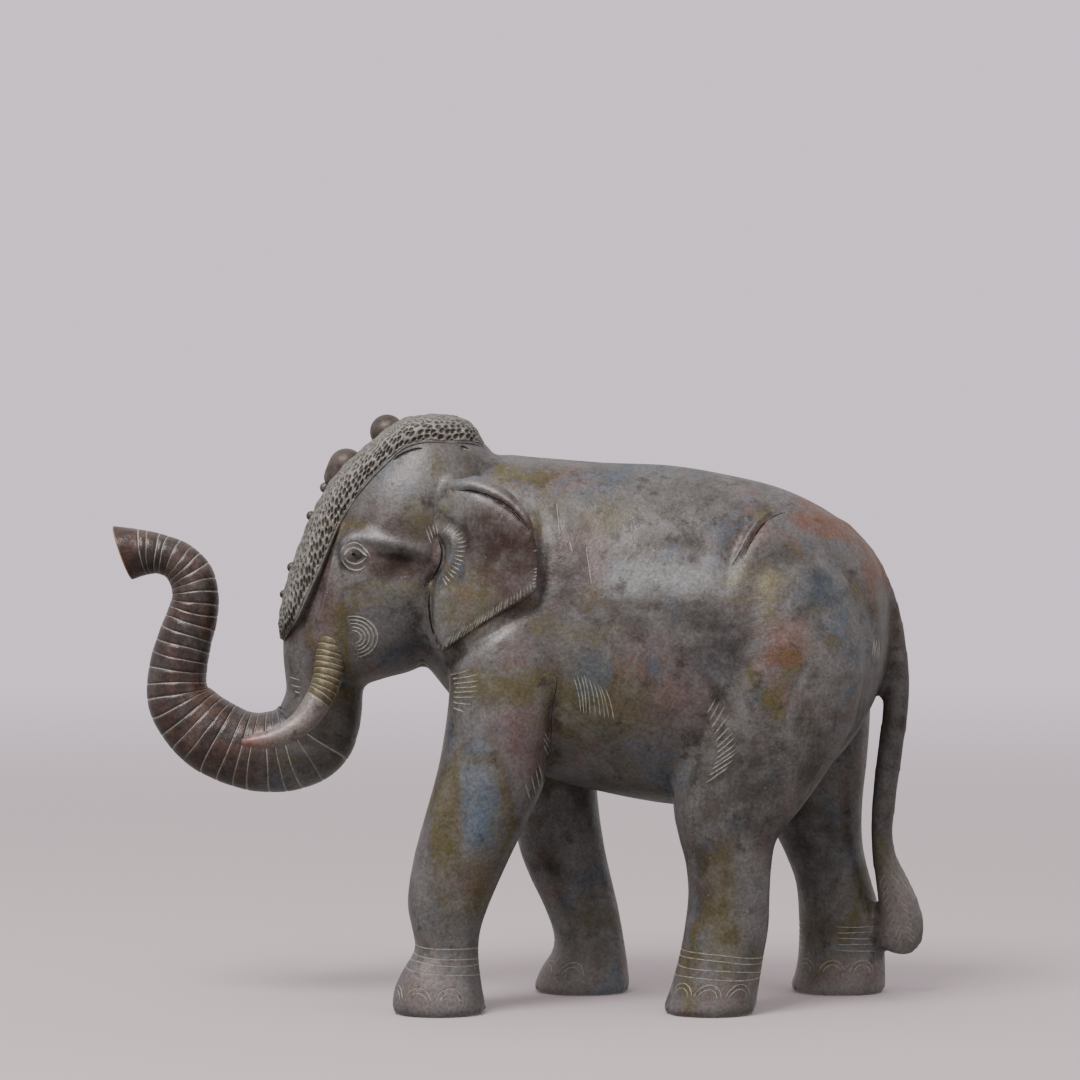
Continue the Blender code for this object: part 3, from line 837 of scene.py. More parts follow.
ear_shells = [in_frame(ear_rings(side)) for side in SIDES]
pattern = add_piece("ear_pattern", mesh_of_shells("ear_pattern", ear_shells))
weight = np.max([nearness(body, path, 4.2, blunt=True) for path in ear_edges], axis=0)
weight = np.clip(1.9 * weight - 0.25, 0.0, 1.0) * on_ear(body)
edge_group = skin.vertex_groups.new(name="ear_edge")
for level in np.linspace(0.1, 1.0, 10):
    chosen = np.nonzero(np.abs(weight - level) <= 0.05)[0]
    edge_group.add(chosen.tolist(), float(level), "REPLACE")
wrap = skin.modifiers.new("sharpen", "SHRINKWRAP")
wrap.target = pattern
wrap.wrap_method = "NEAREST_SURFACEPOINT"
wrap.vertex_group = "ear_edge"
apply_modifiers(skin)
skin.vertex_groups.clear()
bpy.data.objects.remove(pattern, do_unlink=True)
body = points_of(skin.data)
print("ear edge points:", int((weight > 0.05).sum()))

# %% Press them in
REAR_TRIM = 0.9965
HALF_ROOM = 65.6
out = normals_of(skin.data)
for sides, width, push in presses.values():
    for found in sides:
        body = body + out * (push * nearness(body, found[:, :3], width))[:, None]
for found in eye_marks:
    body = body + out * (0.7 * nearness(body, found[:, :3], 4.0, blunt=True))[:, None]
body[:, 0] *= np.where(body[:, 0] > 0.0, REAR_TRIM, 1.0)
body[:, 1] = np.clip(body[:, 1], -HALF_ROOM, HALF_ROOM)
set_points(skin.data, body)
skin_tree = tree_of(skin)

# %% How far each point stands up or lies low
def raised_by(points, edges, rounds, scale, out):
    """The point's height over a much smoothed skin, along the normal, as -1 to 1."""
    smooth = points
    for _ in range(rounds):
        smooth = 0.5 * smooth + 0.5 * mean_beside(smooth, edges)
    return np.clip(((points - smooth) * out).sum(axis=1) / scale, -1.0, 1.0)


SMOOTH_ROUNDS = 30
FULLY_RAISED = 1.7
raised = raised_by(body, edges_of(skin.data), SMOOTH_ROUNDS, FULLY_RAISED, normals_of(skin.data))
give_points(skin.data, {"raised": raised})
print("raised:", raised.min().round(2), raised.max().round(2), np.abs(raised).mean().round(3))

# %% [markdown]
# ## Chased lines
# A chasing tool leaves a narrow V with a pale residue of polish in it. Each stroke here is a
# thin wedge laid along the skin, and a Boolean cuts many of them out at once. The faces that
# it leaves are the true sides of the grooves, so they hold their own colour with a crisp edge.

# %% A wedge along a stroke
STROKE_STEP = 2.2
LONGEST_JUMP = 6.0
WEDGE = np.array([(0.0, -0.50), (0.36, 0.10), (0.0, 0.60), (-0.36, 0.10)])


def wedge_rings(found, broad=1.0, closed=False):
    """Four-sided rings along a stroke: across it by the wedge's x, out of it by its y.
    The size is a rounded ramp at the two ends, so a stroke starts and ends in a point."""
    path, normal = found[:, :3], found[:, 3:]
    if closed:
        along = np.roll(path, -1, axis=0) - np.roll(path, 1, axis=0)
        size = np.full(len(path), broad)
    else:
        along = np.gradient(path, axis=0)
        share = np.linspace(0.0, 1.0, len(path))
        size = broad * np.clip(np.sin(np.pi * share) * 2.2, 0.14, 1.0)
    size = size * rng.uniform(0.86, 1.1, len(path))
    across = np.cross(along, normal)
    across /= np.maximum(np.linalg.norm(across, axis=1, keepdims=True), 1e-9)
    shape = WEDGE[None] * size[:, None, None]
    return (path[:, None] + across[:, None] * shape[..., :1] + normal[:, None] * shape[..., 1:])


def resampled(found, step=STROKE_STEP):
    """The stroke read again at even steps."""
    far = walked(found[:, :3])
    at = np.linspace(0.0, far[-1], max(4, int(far[-1] / step)))
    return read_at(at, [found], far)[0]


def unbroken(found):
    """True if the stroke has no jump to another part of the piece."""
    return len(found) > 2 and np.diff(walked(found[:, :3])).max() < LONGEST_JUMP


# %% Combs of strokes between two picture curves
def comb(first, last, count, jitter=0.7, bow=0.0):
    """Strokes from places along one curve to places along another, each a little off."""
    ends = [curve_through(curve, count) + rng.uniform(-jitter, jitter, (count, 2))
            for curve in (first, last)]
    share = np.linspace(0.0, 1.0, 9)[None, :, None]
    lines = ends[0][:, None] * (1.0 - share) + ends[1][:, None] * share
    side_step = (ends[1] - ends[0])[:, ::-1] * (1.0, -1.0)
    return list(lines + side_step[:, None] * bow * np.sin(np.pi * share))


COMBS = {
    "ear wrinkles": ([(425, 526), (430, 523), (436, 521)], [(432, 544), (435, 541), (438, 537)], 4),
    "ear fan": ([(444, 531), (452, 535), (455, 545), (454, 556), (449, 567), (442, 577)],
                [(451, 523), (461, 529), (466, 543), (464, 559), (457, 573), (447, 586)], 17),
    "ear hem": ([(447, 635), (467, 623), (487, 610), (507, 596), (530, 581)],
                [(441, 651), (461, 639), (483, 625), (505, 611), (531, 595)], 31),
    "ear nicks": ([(532, 534), (533, 550), (533, 570), (532, 586)],
                  [(536, 533), (537, 549), (537, 569), (536, 585)], 15),
    "chest": ([(447, 669.5), (452, 679), (455, 688), (453, 697), (453, 707)],
              [(463, 664), (479, 674), (478, 686), (476, 697), (465, 711)], 9),
    "shoulder": ([(544, 731), (543, 745), (542, 757), (536, 767), (525, 781)],
                 [(549, 741), (548, 757), (546.5, 772), (541, 787), (530, 799)], 10),
    "flank": ([(573, 674), (583, 673), (594, 681), (604, 687)],
              [(581, 711), (589, 714), (601, 716), (613, 719)], 9, 0.7, 0.04),
    "thigh": ([(716, 698), (726, 707), (733, 726), (736, 741), (737, 752), (729, 767)],
              [(707, 714), (712, 729), (716, 745), (716, 757), (712, 769), (706, 782)], 12),
    "tail root": ([(874, 640), (880, 639)], [(872, 655), (878, 660)], 5),
    "neck": ([(556, 500), (569, 538), (586, 545)], [(560, 537), (572, 552), (591, 584)], 3),
}
strokes = {name: comb(*parts) for name, parts in COMBS.items()}

# %% Lines of the eye and the cheek
strokes["eye"] = [np.array(line, float) for line in (
    [(340, 553), (345, 545), (354, 541.5), (362, 545), (370, 555.5)],
    [(341, 556), (344, 563), (350, 568), (358, 569), (366, 565.5)],
    [(344, 555), (348, 549), (353.5, 546.5), (360, 549.5), (367, 556)],
    [(344.5, 557), (349, 561.5), (355.5, 563), (361.5, 560.5), (366, 557)])]


def arcs_at(middle, radii, start, end, squash=0.9):
    """Arcs round one middle, from a start to an end angle in degrees, clockwise from right."""
    angle = np.radians(np.linspace(start, end, 14))
    return [np.stack([middle[0] + r * np.cos(angle), middle[1] + squash * r * np.sin(angle)], -1)
            for r in radii]


strokes["cheek"] = arcs_at((354, 636.5), (7, 11, 15, 19, 23), -110, 82)
strokes["trunk root"] = comb([(289, 677), (291, 684), (294, 690)],
                             [(303, 680), (302, 687), (301, 693)], 3)
print(sum(len(lines) for lines in strokes.values()), "strokes drawn")

# %% Lay the strokes on both sides
CLOSE_STEP = 1.0
BROAD = {"eye": 2.2, "cheek": 1.7, "chest": 1.6, "shoulder": 1.5, "ear fan": 1.5,
         "ear hem": 1.2, "ear wrinkles": 1.0, "flank": 0.85, "neck": 0.7}
PLAIN_BROAD = 1.25
cuts = []
for name, lines in strokes.items():
    step = CLOSE_STEP if name in ("eye", "cheek") else STROKE_STEP
    for line in lines:
        for found in both_sides(skin_tree, line, 2.0, 4):
            if unbroken(found):
                cuts.append(wedge_rings(resampled(found, step), BROAD.get(name, PLAIN_BROAD)))
print(len(cuts), "strokes laid")


# %% Dark creases, painted near black as shade
# Each crease is a groove whose faces are painted near black. This is painted shade in the slot under
# the band, under the ear's roll, by the ear, at the shoulder and hip, and in the pupil.
CREASES = {
    "below the band": ([(463, 444), (446, 443), (423, 443), (403, 450), (385, 466), (367.5, 484),
                        (352, 503.5), (340, 523), (330, 545), (319, 571), (308, 596), (298, 621),
                        (292, 639)], 1.7),
    "slot in the band": ([(393, 460), (403, 454), (413, 450), (423, 448)], 3.4),
    "hip crease": ([(744, 556), (749, 546), (755, 536), (761, 527), (769, 519)], 1.2),
    "end of the hip fold": ([(741, 550), (736, 559), (731, 567)], 0.7),
    "strand on the hip": ([(769, 519), (777, 515), (786, 512)], 0.7),
    "under the ear's roll": ([(456, 490), (475, 492), (495, 499), (513, 511), (529, 530)], 2.0),
    "ear notch": ([(438, 539), (441, 546), (442, 554), (440.5, 563), (436, 573), (430, 582)], 1.6),
    "before the ear": ([(430, 588), (429, 604), (431, 624), (436, 640), (440, 650)], 1.4),
    "pupil": ([(351.6, 554.2), (353.5, 554.4), (355.6, 554.6)], 2.4),
    "shoulder": ([(553, 671), (557, 681), (555, 694), (552, 711), (551, 734), (551, 757)], 0.8),
    "pit behind the band": ([(461, 445.5), (465, 447.5), (469, 449)], 1.8),
}
CREASE_STEP = 1.2
creases = []
for line, broad in CREASES.values():
    for found in both_sides(skin_tree, line, 2.0, 5):
        creases.append(wedge_rings(resampled(found, CREASE_STEP), broad))
print(len(creases), "creases laid")

# %% Tail tuft, drawn only where the camera sees it
TUFT_BROAD = 0.8
spine = [(887, 872), (891, 888), (896, 904), (901, 920), (904, 934)]
for first, far_side, count in (
        (spine, [(880, 884), (882, 902), (887, 919), (893, 935), (898, 947)], 11),
        ([(x + 2.0, y) for x, y in spine],
         [(898, 882), (905, 898), (911, 914), (914, 930), (914, 944)], 11),
        ([(893, 869), (901, 872)], [(907, 888), (915, 899)], 3)):
    for line in comb(first, far_side, count, 0.6):
        found = laid(skin_tree, line)
        if unbroken(found):
            cuts.append(wedge_rings(resampled(found), TUFT_BROAD))


# %% [markdown]
# ## Anklets and toes
# Fine lines run round each ankle, and double arcs mark the toes. They are drawn in the leg's
# own round coordinates, an angle and a height, and a ray from inside the leg finds its skin.

# %% Round a leg
def leg_skin(leg, angle, height):
    """Skin points at angles from the outer side, positive to the front, and at heights."""
    rows, side = LEGS[leg]
    table = np.array(rows)[::-1]
    found = []
    for turn, z in zip(angle, height):
        front, rear = (np.interp(z, table[:, 0], table[:, k]) for k in (1, 2))
        way = Vector((-math.sin(turn), side * math.cos(turn), 0.0))
        found += hit(skin_tree, ((front + rear) / 2.0 + SHIFT_X, side * HALF_FEET, z), way)
    return np.array(found)


ANKLETS = {
    "left_fore": [(33.0, 0.8), (28.2, 1.3), (25.3, 1.3), (21.0, 1.7)],
    "left_hind": [(29.8, 1.9), (26.9, 1.9), (22.5, 1.5), (18.5, 0.8)],
    "right_hind": [(34.9, 0.3), (31.9, 0.3), (28.8, 0.2), (25.8, 0.2), (22.7, 0.3)],
    "right_fore": [(33.0, 0.8), (28.2, 1.3), (25.3, 1.3), (21.0, 1.7)],
}
ROUND = {"left_fore": [(-180, 180)], "left_hind": [(-180, 180)],
         "right_hind": [(166, 246), (-92, 120)], "right_fore": [(-120, 120)]}
TOES = {"left_fore": (16, -26, -67, -108), "left_hind": (30, -12, -51, -92),
        "right_hind": (-204, -162, -120, -76, -32), "right_fore": (-160, -118, -76, -34, 8)}
TUFT_FRONT = 181.0
TOE_MIDDLE = {"left_fore": 6.6, "left_hind": 8.4, "right_hind": 10.2, "right_fore": 9.0}

# %% Cut list for ankles and toes
ANKLE_BROAD = 0.9
ANKLE_JUMP = 5.0
TOE_BROAD = 0.85
for leg, lines in ANKLETS.items():
    for low, high in ROUND[leg]:
        for height, tilt in lines:
            angle = np.radians(np.linspace(low, high, 72, endpoint=high - low < 360))
            wave = 0.25 * np.sin(3.0 * angle + rng.uniform(0, 6)) + tilt * np.sin(angle)
            found = leg_skin(leg, angle, height + wave)
            if high - low < 360:
                found = found[found[:, 0] < TUFT_FRONT]
                steps = np.linalg.norm(np.diff(found[:, :3], axis=0), axis=1)
                for part in np.split(found, np.flatnonzero(steps > ANKLE_JUMP) + 1):
                    if len(part) > 3:
                        cuts.append(wedge_rings(resampled(part), ANKLE_BROAD))
            else:
                cuts.append(("hoop", wedge_rings(found, ANKLE_BROAD, closed=True)))
for leg, turns in TOES.items():
    for middle in turns:
        for radius in (8.2, 5.9):
            t = np.radians(np.linspace(10, 170, 22))
            angle = np.radians(-middle) + radius / 25.0 * np.cos(t)
            height = TOE_MIDDLE[leg] + radius * 0.95 * np.sin(t)
            cuts.append(wedge_rings(resampled(leg_skin(leg, angle, height)), TOE_BROAD))
print(len(cuts), "strokes with ankles and toes")


# %% [markdown]
# ## Cutting them out
# Dark creases, painted near black as shade, are cut first, then the pale strokes in two
# batches. Each batch takes every other pair of strokes, so neighbours in a comb are never in
# one cutter, where they could cross. A cut can leave two faces lying on each other, which would
# keep the next cut from working. The mesh is checked after each cut, and faces that share no
# edge are taken out.

# %% Face marks, crisp edges and lone faces
def mark_faces(mesh, name, value):
    """One float on every face, unless an earlier round has left its marks."""
    if not mesh.attributes.get(name):
        mark = mesh.attributes.new(name, "FLOAT", "FACE")
        mark.data.foreach_set("value", np.full(len(mesh.polygons), value, np.float32))


def corners_of(mesh):
    """The face number and the edge number of every face corner."""
    total = np.zeros(len(mesh.polygons), np.int32)
    mesh.polygons.foreach_get("loop_total", total)
    edge = np.zeros(len(mesh.loops), np.int32)
    mesh.loops.foreach_get("edge_index", edge)
    return np.repeat(np.arange(len(total)), total), edge


def crisp_edges(mesh, name):
    """Marks an edge sharp where the face value changes across it, and smooths the rest."""
    value = np.zeros(len(mesh.polygons), np.float32)
    mesh.attributes[name].data.foreach_get("value", value)
    face, edge = corners_of(mesh)
    low = np.full(len(mesh.edges), np.inf)
    high = np.full(len(mesh.edges), -np.inf)
    np.minimum.at(low, edge, value[face])
    np.maximum.at(high, edge, value[face])
    before = np.zeros(len(mesh.edges), bool)
    sharp = mesh.attributes.get("sharp_edge")
    if sharp:
        sharp.data.foreach_get("value", before)
    mesh.shade_smooth()
    sharp = mesh.attributes.get("sharp_edge") or mesh.attributes.new(
        "sharp_edge", "BOOLEAN", "EDGE")
    sharp.data.foreach_set("value", before | (high - low > 0.5))
    return int((value > 0.5).sum())


def drop_lone_faces(mesh):
    """Takes out faces that share no edge: a cut can leave two lying on each other."""
    face, edge = corners_of(mesh)
    uses = np.bincount(edge, minlength=len(mesh.edges))
    lone = np.flatnonzero(np.bincount(face, uses[edge] > 1) == 0)
    shape = bmesh.new()
    shape.from_mesh(mesh)
    shape.faces.ensure_lookup_table()
    bmesh.ops.delete(shape, geom=[shape.faces[i] for i in lone], context="FACES")
    shape.to_mesh(mesh)
    shape.free()
    return len(lone)


# %% Cut a batch of wedges out
def chase(piece, cuts, mark):
    """Cuts the wedges out of the piece and marks the faces that they leave."""
    mark_faces(piece.data, mark, 0.0)
    tool = add_piece("chasing_tool", mesh_of_shells("wedges", cuts))
    mark_faces(tool.data, mark, 1.0)
    cut = piece.modifiers.new("chase", "BOOLEAN")
    cut.operation = "DIFFERENCE"
    cut.solver = "MANIFOLD"
    cut.object = tool
    apply_modifiers(piece)
    bpy.data.objects.remove(tool, do_unlink=True)
    piece.data.validate(clean_customdata=False)
    print("lone faces taken out:", drop_lone_faces(piece.data))
    return crisp_edges(piece.data, mark)


# Crease faces take the hollow mark: painted shade, near black.
print("crease faces:", chase(skin, creases, "hollow"))
for batch in (cuts[0::4] + cuts[1::4], cuts[2::4] + cuts[3::4]):
    print("groove faces:", chase(skin, batch, "residue"), "of", len(skin.data.polygons))
print("attributes:", [(a.name, a.domain) for a in skin.data.attributes])

# %% [markdown]
# ## Tusks
# The upper half of each tusk is still sheathed in ringed skin, and the lower half is smooth
# with a rubbed, reddish tip. It is a tube on a grid, like the trunk, with rows packed at each
# ring, and it starts inside the cheek.

# %% Tusk as a ringed tube
TUSK_HALF_SPREAD = 31.0
TUSK_RINGS = 11
TUSK_RING_HALF = 0.38
TUSK_RING_DEPTH = 0.32


def tusk(side):
    """Tube along the tusk's path: radius less a parabola's groove at each ring, plus a
    sine's swell between the rings. The rings sway with the angle by a sine."""
    spread = TUSK_HALF_SPREAD
    stations = [
        (-90, 0.72 * spread, 188, 8.4, 8.4), (-92.6, 0.85 * spread, 174, 7.8, 7.8),
        (-94.5, 0.95 * spread, 162, 7.2, 7.2), (-98.5, 1.02 * spread, 152, 6.8, 6.8),
        (-105, 1.08 * spread, 142.6, 6.2, 6.2), (-113, 1.14 * spread, 136.8, 5.4, 5.4),
        (-123, 1.18 * spread, 133, 4.4, 4.4), (-131, 1.20 * spread, 132, 3.1, 3.1),
        (-136, 1.20 * spread, 131.8, 1.4, 1.4)]
    parts, far = fine_path(stations, 900)
    rings = 5.0 + np.cumsum(rng.uniform(2.5, 3.5, TUSK_RINGS))
    close = np.array([-1.0, -0.5, 0.0, 0.5, 1.0]) * TUSK_RING_HALF
    plain = np.arange(0.0, far[-1], 0.9)
    clear = np.abs(plain[:, None] - rings[None, :]).min(axis=1) > 0.8
    rows = np.unique(np.concatenate([(rings[:, None] + close).ravel(), plain[clear]]))
    angle = turn_of(56)[None, :]
    nearest = np.abs(rows[:, None] - rings[None, :]).argmin(axis=1)
    off = (rows - rings[nearest])[:, None]
    phase = rng.uniform(0.0, 6.0, TUSK_RINGS)[nearest][:, None]
    place = rows[:, None] + (0.45 * np.sin(angle + phase) + 0.9 * np.cos(angle)) * (
        np.clip((50.0 - rows) / 15.0, 0.0, 1.0)[:, None])
    everywhere = np.ones_like(place)
    groove = np.clip(1.0 - (off / TUSK_RING_HALF) ** 2, 0.0, 1.0) * everywhere
    ringed = np.clip((rings[-1] + 1.5 - rows) / 3.0, 0.0, 1.0)[:, None]
    fat = 0.16 * np.sin(np.clip(np.abs(off) / 1.5, 0.0, 1.0) * np.pi / 2.0) * ringed
    drop = groove * TUSK_RING_DEPTH - fat
    points = tube(read_at(place, parts, far), angle, drop[..., None])
    points[:, :, 1] *= side
    tip = np.clip((rows - far[-1] + 18.0) / 14.0, 0.0, 1.0)[:, None]
    return points, {"residue": groove, "tip": tip * everywhere, "sheath": ringed * everywhere}


tusks = []
for side, name in ((LEFT, "left_tusk"), (RIGHT, "right_tusk")):
    tusk_points, tusk_values = tusk(side)
    piece = add_piece(name, mesh_of_shells(name, [in_frame(tusk_points)]))
    give_points(piece.data, {n: with_poles(v) for n, v in tusk_values.items()})
    tusks.append(piece)
print("tusks:", [len(p.data.polygons) for p in tusks], "faces")

# %% [markdown]
# ## The punched forehead band
# The band stands proud of the forehead, with rows of punched cells that follow its edge, a
# smooth raised rim, and domes and beads down its middle. The cells are a height added to a fine
# grid: each point looks up its two nearest punch marks, and where those are equally near it is
# on the ridge between two cells. Jitter on the punch marks keeps it hand-made.

# %% The band's plain surface
BAND = [
    (-17.5, 279.5, -18.5, 277.0, 0.45), (-23.5, 288.6, -25, 279.5, 0.72),
    (-34, 293.2, -35.5, 280.0, 0.90), (-47, 293.4, -47.5, 280.2, 0.96),
    (-58, 291.4, -58, 276.5, 1.00), (-67, 286.0, -67, 268.5, 1.00),
    (-75.5, 279.0, -75.5, 259.6, 1.00), (-88, 268.0, -83, 250.0, 1.00),
    (-96.6, 256.8, -89, 240.5, 1.00), (-104, 243.2, -94, 229.5, 1.00),
    (-110.4, 227.5, -99.5, 216.5, 1.00), (-116, 211.0, -105, 204.0, 0.96),
    (-119.2, 197.0, -110, 192.5, 0.88), (-120.2, 189.0, -114.0, 186.0, 0.66),
    (-119.8, 182.0, -117.2, 180.6, 0.30)]
BAND_ROWS = 350
BAND_COLUMNS = 204
BAND_TURN = 106.0
TUCK = 2.0 / (2.0 * BAND_TURN)


def band_top():
    """Half an oval over the ridge: out by cosine to 0.8 and a little of 1 less cosine,
    sideways by sine, and past the edge it tucks under by the same rule."""
    ridge_x, ridge_z, edge_x, edge_z, width = curve_through(BAND, BAND_ROWS).T[:, :, None]
    angle = np.radians(np.linspace(-BAND_TURN, BAND_TURN, BAND_COLUMNS))[None, :]
    rise = squared(np.cos(angle), 0.8) + 0.16 * (1.0 - np.cos(angle))
    return np.stack([edge_x + (ridge_x - edge_x) * rise, HALF_BAND * width * np.sin(angle),
                     edge_z + (ridge_z - edge_z) * rise], axis=-1)


def lengths(points, axis):
    """Distance walked along an axis of a grid, from its first point."""
    steps = np.linalg.norm(np.diff(points, axis=axis), axis=-1)
    first = np.zeros_like(np.take(steps, [0], axis=axis))
    return np.concatenate([first, np.cumsum(steps, axis=axis)], axis=axis)


def grid_normals(points):
    """Cross product of the two ways along a grid, of unit length, pointing up or forward."""
    normal = np.cross(np.gradient(points, axis=1), np.gradient(points, axis=0))
    normal /= np.maximum(np.linalg.norm(normal, axis=-1, keepdims=True), 1e-9)
    middle = normal[len(normal) // 2, normal.shape[1] // 2]
    return normal if middle[2] - middle[0] > 0 else -normal


# %% Punched cells
CELL = 3.4
PUNCH_DEPTH = 1.05
RIM = 0.8
RIM_SWELL = 0.25
LINE_DEPTH = 0.3
FRINGE_LENGTH = 8.5
FRINGE_PITCH = 1.7
FRINGE_DEPTH = 0.45
SHAKES = 128
OTHER_HALF = 40.0


def punched(along, across):
    """Distances to the nearest and second nearest of a lattice of shaken punch marks."""
    shake = rng.uniform(-0.3, 0.3, (SHAKES, SHAKES, 2)) * CELL
    tall = CELL * math.sqrt(3.0) / 2.0
    row = np.round(across / tall).astype(int)
    first = np.full(along.shape, np.inf)
    second = np.full(along.shape, np.inf)
    for d_row in (-1, 0, 1):
        r = row + d_row
        start = 0.5 * (r % 2) * CELL
        column = np.round((along - start) / CELL).astype(int)
        for d_column in (-1, 0, 1):
            c = column + d_column
            move = shake[r % SHAKES, c % SHAKES]
            gap = np.hypot(along - start - c * CELL - move[..., 0],
                           across - r * tall - move[..., 1])
            second = np.where(gap < first, first, np.minimum(second, gap))
            first = np.minimum(first, gap)
    return first, second


def ease(value, low, high):
    """Smooth step: 0 below low, 1 above high, and 3t2 - 2t3 between."""
    t = np.clip((value - low) / (high - low), 0.0, 1.0)
    return t * t * (3.0 - 2.0 * t)


# %% Height of the relief on the band
def band_grid():
    """The plain surface plus its relief along the normal, and what the shader reads. A
    cell is deep where the second nearest mark is well beyond the nearest, and the rim is a
    Gaussian swell with a Gaussian line inside it."""
    top = band_top()
    across = lengths(top, 1)
    whole = across[:, -1:]
    from_edge = np.minimum(across, whole - across) - whole * TUCK
    along = lengths(top, 0)
    from_ends = np.minimum(along, along[-1:] - along)
    first, second = punched(along, from_edge + OTHER_HALF * (across > whole / 2.0))
    inside = ease(from_edge, RIM, RIM + 0.7) * ease(from_ends, 3.5, 6.0)
    pit = ease(second - first, 0.15, 0.95) * (1.0 - ease(first, 0.9, 1.6)) * inside
    swell = RIM_SWELL * np.exp(-((from_edge - 0.3) / 0.6) ** 2)
    line = np.exp(-((from_edge - RIM + 0.1) / 0.3) ** 2)
    fringe = ease(FRINGE_LENGTH - along, 0.0, 3.0) * ease(from_edge, 0.5, 2.0)
    comb_wave = 0.5 + 0.5 * np.cos(2.0 * np.pi * across / FRINGE_PITCH)
    height = swell - LINE_DEPTH * line - PUNCH_DEPTH * pit - FRINGE_DEPTH * comb_wave * fringe
    height += 0.35 * np.sin(along * 0.5 + 1.0) * np.sin(from_edge * 0.31) * inside
    points = top + grid_normals(top) * height[..., None]
    ridge = inside * (1.0 - pit)
    residue = np.clip(0.42 * ridge ** 2 + 0.3 * line + 0.5 * fringe * (1.0 - comb_wave), 0, 1)
    return points, {"pit": pit, "residue": residue, "boss": np.zeros_like(pit)}


# %% Close the band, and add domes and beads
BACK_COLUMNS = 24
BACK_DEPTH = 3.0
BALL_ROWS, BALL_SIDES = 24, 36
DOMES = [(-66.2, 284.9, 8.6), (-86.6, 267.6, 8.95), (-88.0, 266.2, 8.3), (-89.4, 264.8, 7.5),
         (-90.8, 263.4, 6.7), (-92.0, 262.2, 5.85)]
BEADS = [(-97.2, 256.9, 2.7), (-104.2, 242.8, 2.45), (-113.6, 217.0, 2.7), (-117.8, 203.6, 2.2)]
top, band_values = band_grid()
plain = curve_through(BAND, BAND_ROWS)
inward = np.stack([plain[:, 0] - plain[:, 2], 0 * plain[:, 0], plain[:, 1] - plain[:, 3]], -1)
inward /= np.linalg.norm(inward, axis=1, keepdims=True)
share = np.linspace(0.16, 0.84, BACK_COLUMNS)[None, :, None]
back = top[:, -1:] * (1.0 - share) + top[:, :1] * share - inward[:, None] * BACK_DEPTH
shells = [in_frame(np.concatenate([top, back], axis=1))]
values = {n: [with_poles(np.hstack([v, np.zeros((BAND_ROWS, BACK_COLUMNS))]))]
          for n, v in band_values.items()}
for x, z, radius in DOMES + BEADS:
    shells.append(in_frame(ball((x, 0.0, z), (radius,) * 3, BALL_ROWS, BALL_SIDES)))
    for name, numbers in values.items():
        numbers.append(np.full(BALL_ROWS * BALL_SIDES + 2, 1.0 if name == "boss" else 0.0))
band = add_piece("forehead_band", mesh_of_shells("forehead_band", shells))
give_points(band.data, {n: np.concatenate(v) for n, v in values.items()})
print("band:", len(band.data.polygons), "faces")

# %% [markdown]
# ## Bronze and its patina
# The colour comes from chemistry rubbed on by hand: a brown base, then washes of grey, olive,
# pink, rust and blue, and pale polish left in every line. The shader repeats that order. Noise
# on Object coordinates gives the clouds, and placed washes follow the real piece, though some
# of them are painted highlight and some painted shade. The creases are painted shade, near
# black. A pale film then wears onto what stands up, a brown stain gathers in what lies low,
# and the roughness and a fine bump make the satin skin.

# %% Small node helpers
def new_node(tree, kind, **settings):
    """Adds a node and sets its properties."""
    made = tree.nodes.new(kind)
    for name, value in settings.items():
        setattr(made, name, value)
    return made


def feed(tree, socket, value):
    """Links a socket to a socket, or writes a plain value into it."""
    if isinstance(value, bpy.types.NodeSocket):
        tree.links.new(value, socket)
    else:
        socket.default_value = value


def maths(tree, operation, *values):
    """One Math node on sockets or numbers."""
    made = new_node(tree, "ShaderNodeMath", operation=operation)
    for socket, value in zip(made.inputs, values):
        feed(tree, socket, value)
    return made.outputs[0]


def times(tree, value, factor):
    """A value times a factor."""
    return maths(tree, "MULTIPLY", value, factor)


def times_plus(tree, value, factor, rest):
    """A value times a factor, plus the rest."""
    return maths(tree, "MULTIPLY_ADD", value, factor, rest)


def mixed(tree, factor, first, second):
    """One colour Mix node."""
    made = new_node(tree, "ShaderNodeMix", data_type="RGBA")
    feed(tree, made.inputs["Factor"], factor)
    feed(tree, made.inputs[6], first)
    feed(tree, made.inputs[7], second)
    return made.outputs[2]


def tinted(tree, colour, tint, factor, strength):
    """A tint laid over a colour, by a factor times a strength."""
    return mixed(tree, times(tree, factor, strength), colour, (*tint, 1.0))


def cloud(tree, vector, scale, detail=4.0, roughness=0.55, distortion=0.0):
    """One Noise node."""
    made = new_node(tree, "ShaderNodeTexNoise")
    feed(tree, made.inputs["Vector"], vector)
    for name, value in (("Scale", scale), ("Detail", detail), ("Roughness", roughness),
                        ("Distortion", distortion)):
        made.inputs[name].default_value = value
    return made.outputs["Fac"]


def between(tree, value, low, high):
    """A value mapped from low..high to 0..1 by a smooth step."""
    made = new_node(tree, "ShaderNodeMapRange", interpolation_type="SMOOTHSTEP")
    feed(tree, made.inputs["Value"], value)
    made.inputs["From Min"].default_value = low
    made.inputs["From Max"].default_value = high
    return made.outputs["Result"]


def ramp(tree, value, stops):
    """A colour ramp from (place, colour) stops."""
    made = new_node(tree, "ShaderNodeValToRGB")
    feed(tree, made.inputs["Fac"], value)
    elements = made.color_ramp.elements
    while len(elements) < len(stops):
        elements.new(0.5)
    for element, (place, colour) in zip(elements, stops):
        element.position = place
        element.color = (*colour, 1.0)
    return made.outputs["Color"]


def moved(tree, vector, location=(0, 0, 0), scale=(1, 1, 1), rotation=(0, 0, 0)):
    """One Mapping node."""
    made = new_node(tree, "ShaderNodeMapping")
    feed(tree, made.inputs["Vector"], vector)
    made.inputs["Location"].default_value = location
    made.inputs["Scale"].default_value = scale
    made.inputs["Rotation"].default_value = rotation
    return made.outputs["Vector"]


def mark_of(tree, name):
    """A float attribute's value."""
    return new_node(tree, "ShaderNodeAttribute", attribute_name=name).outputs["Fac"]


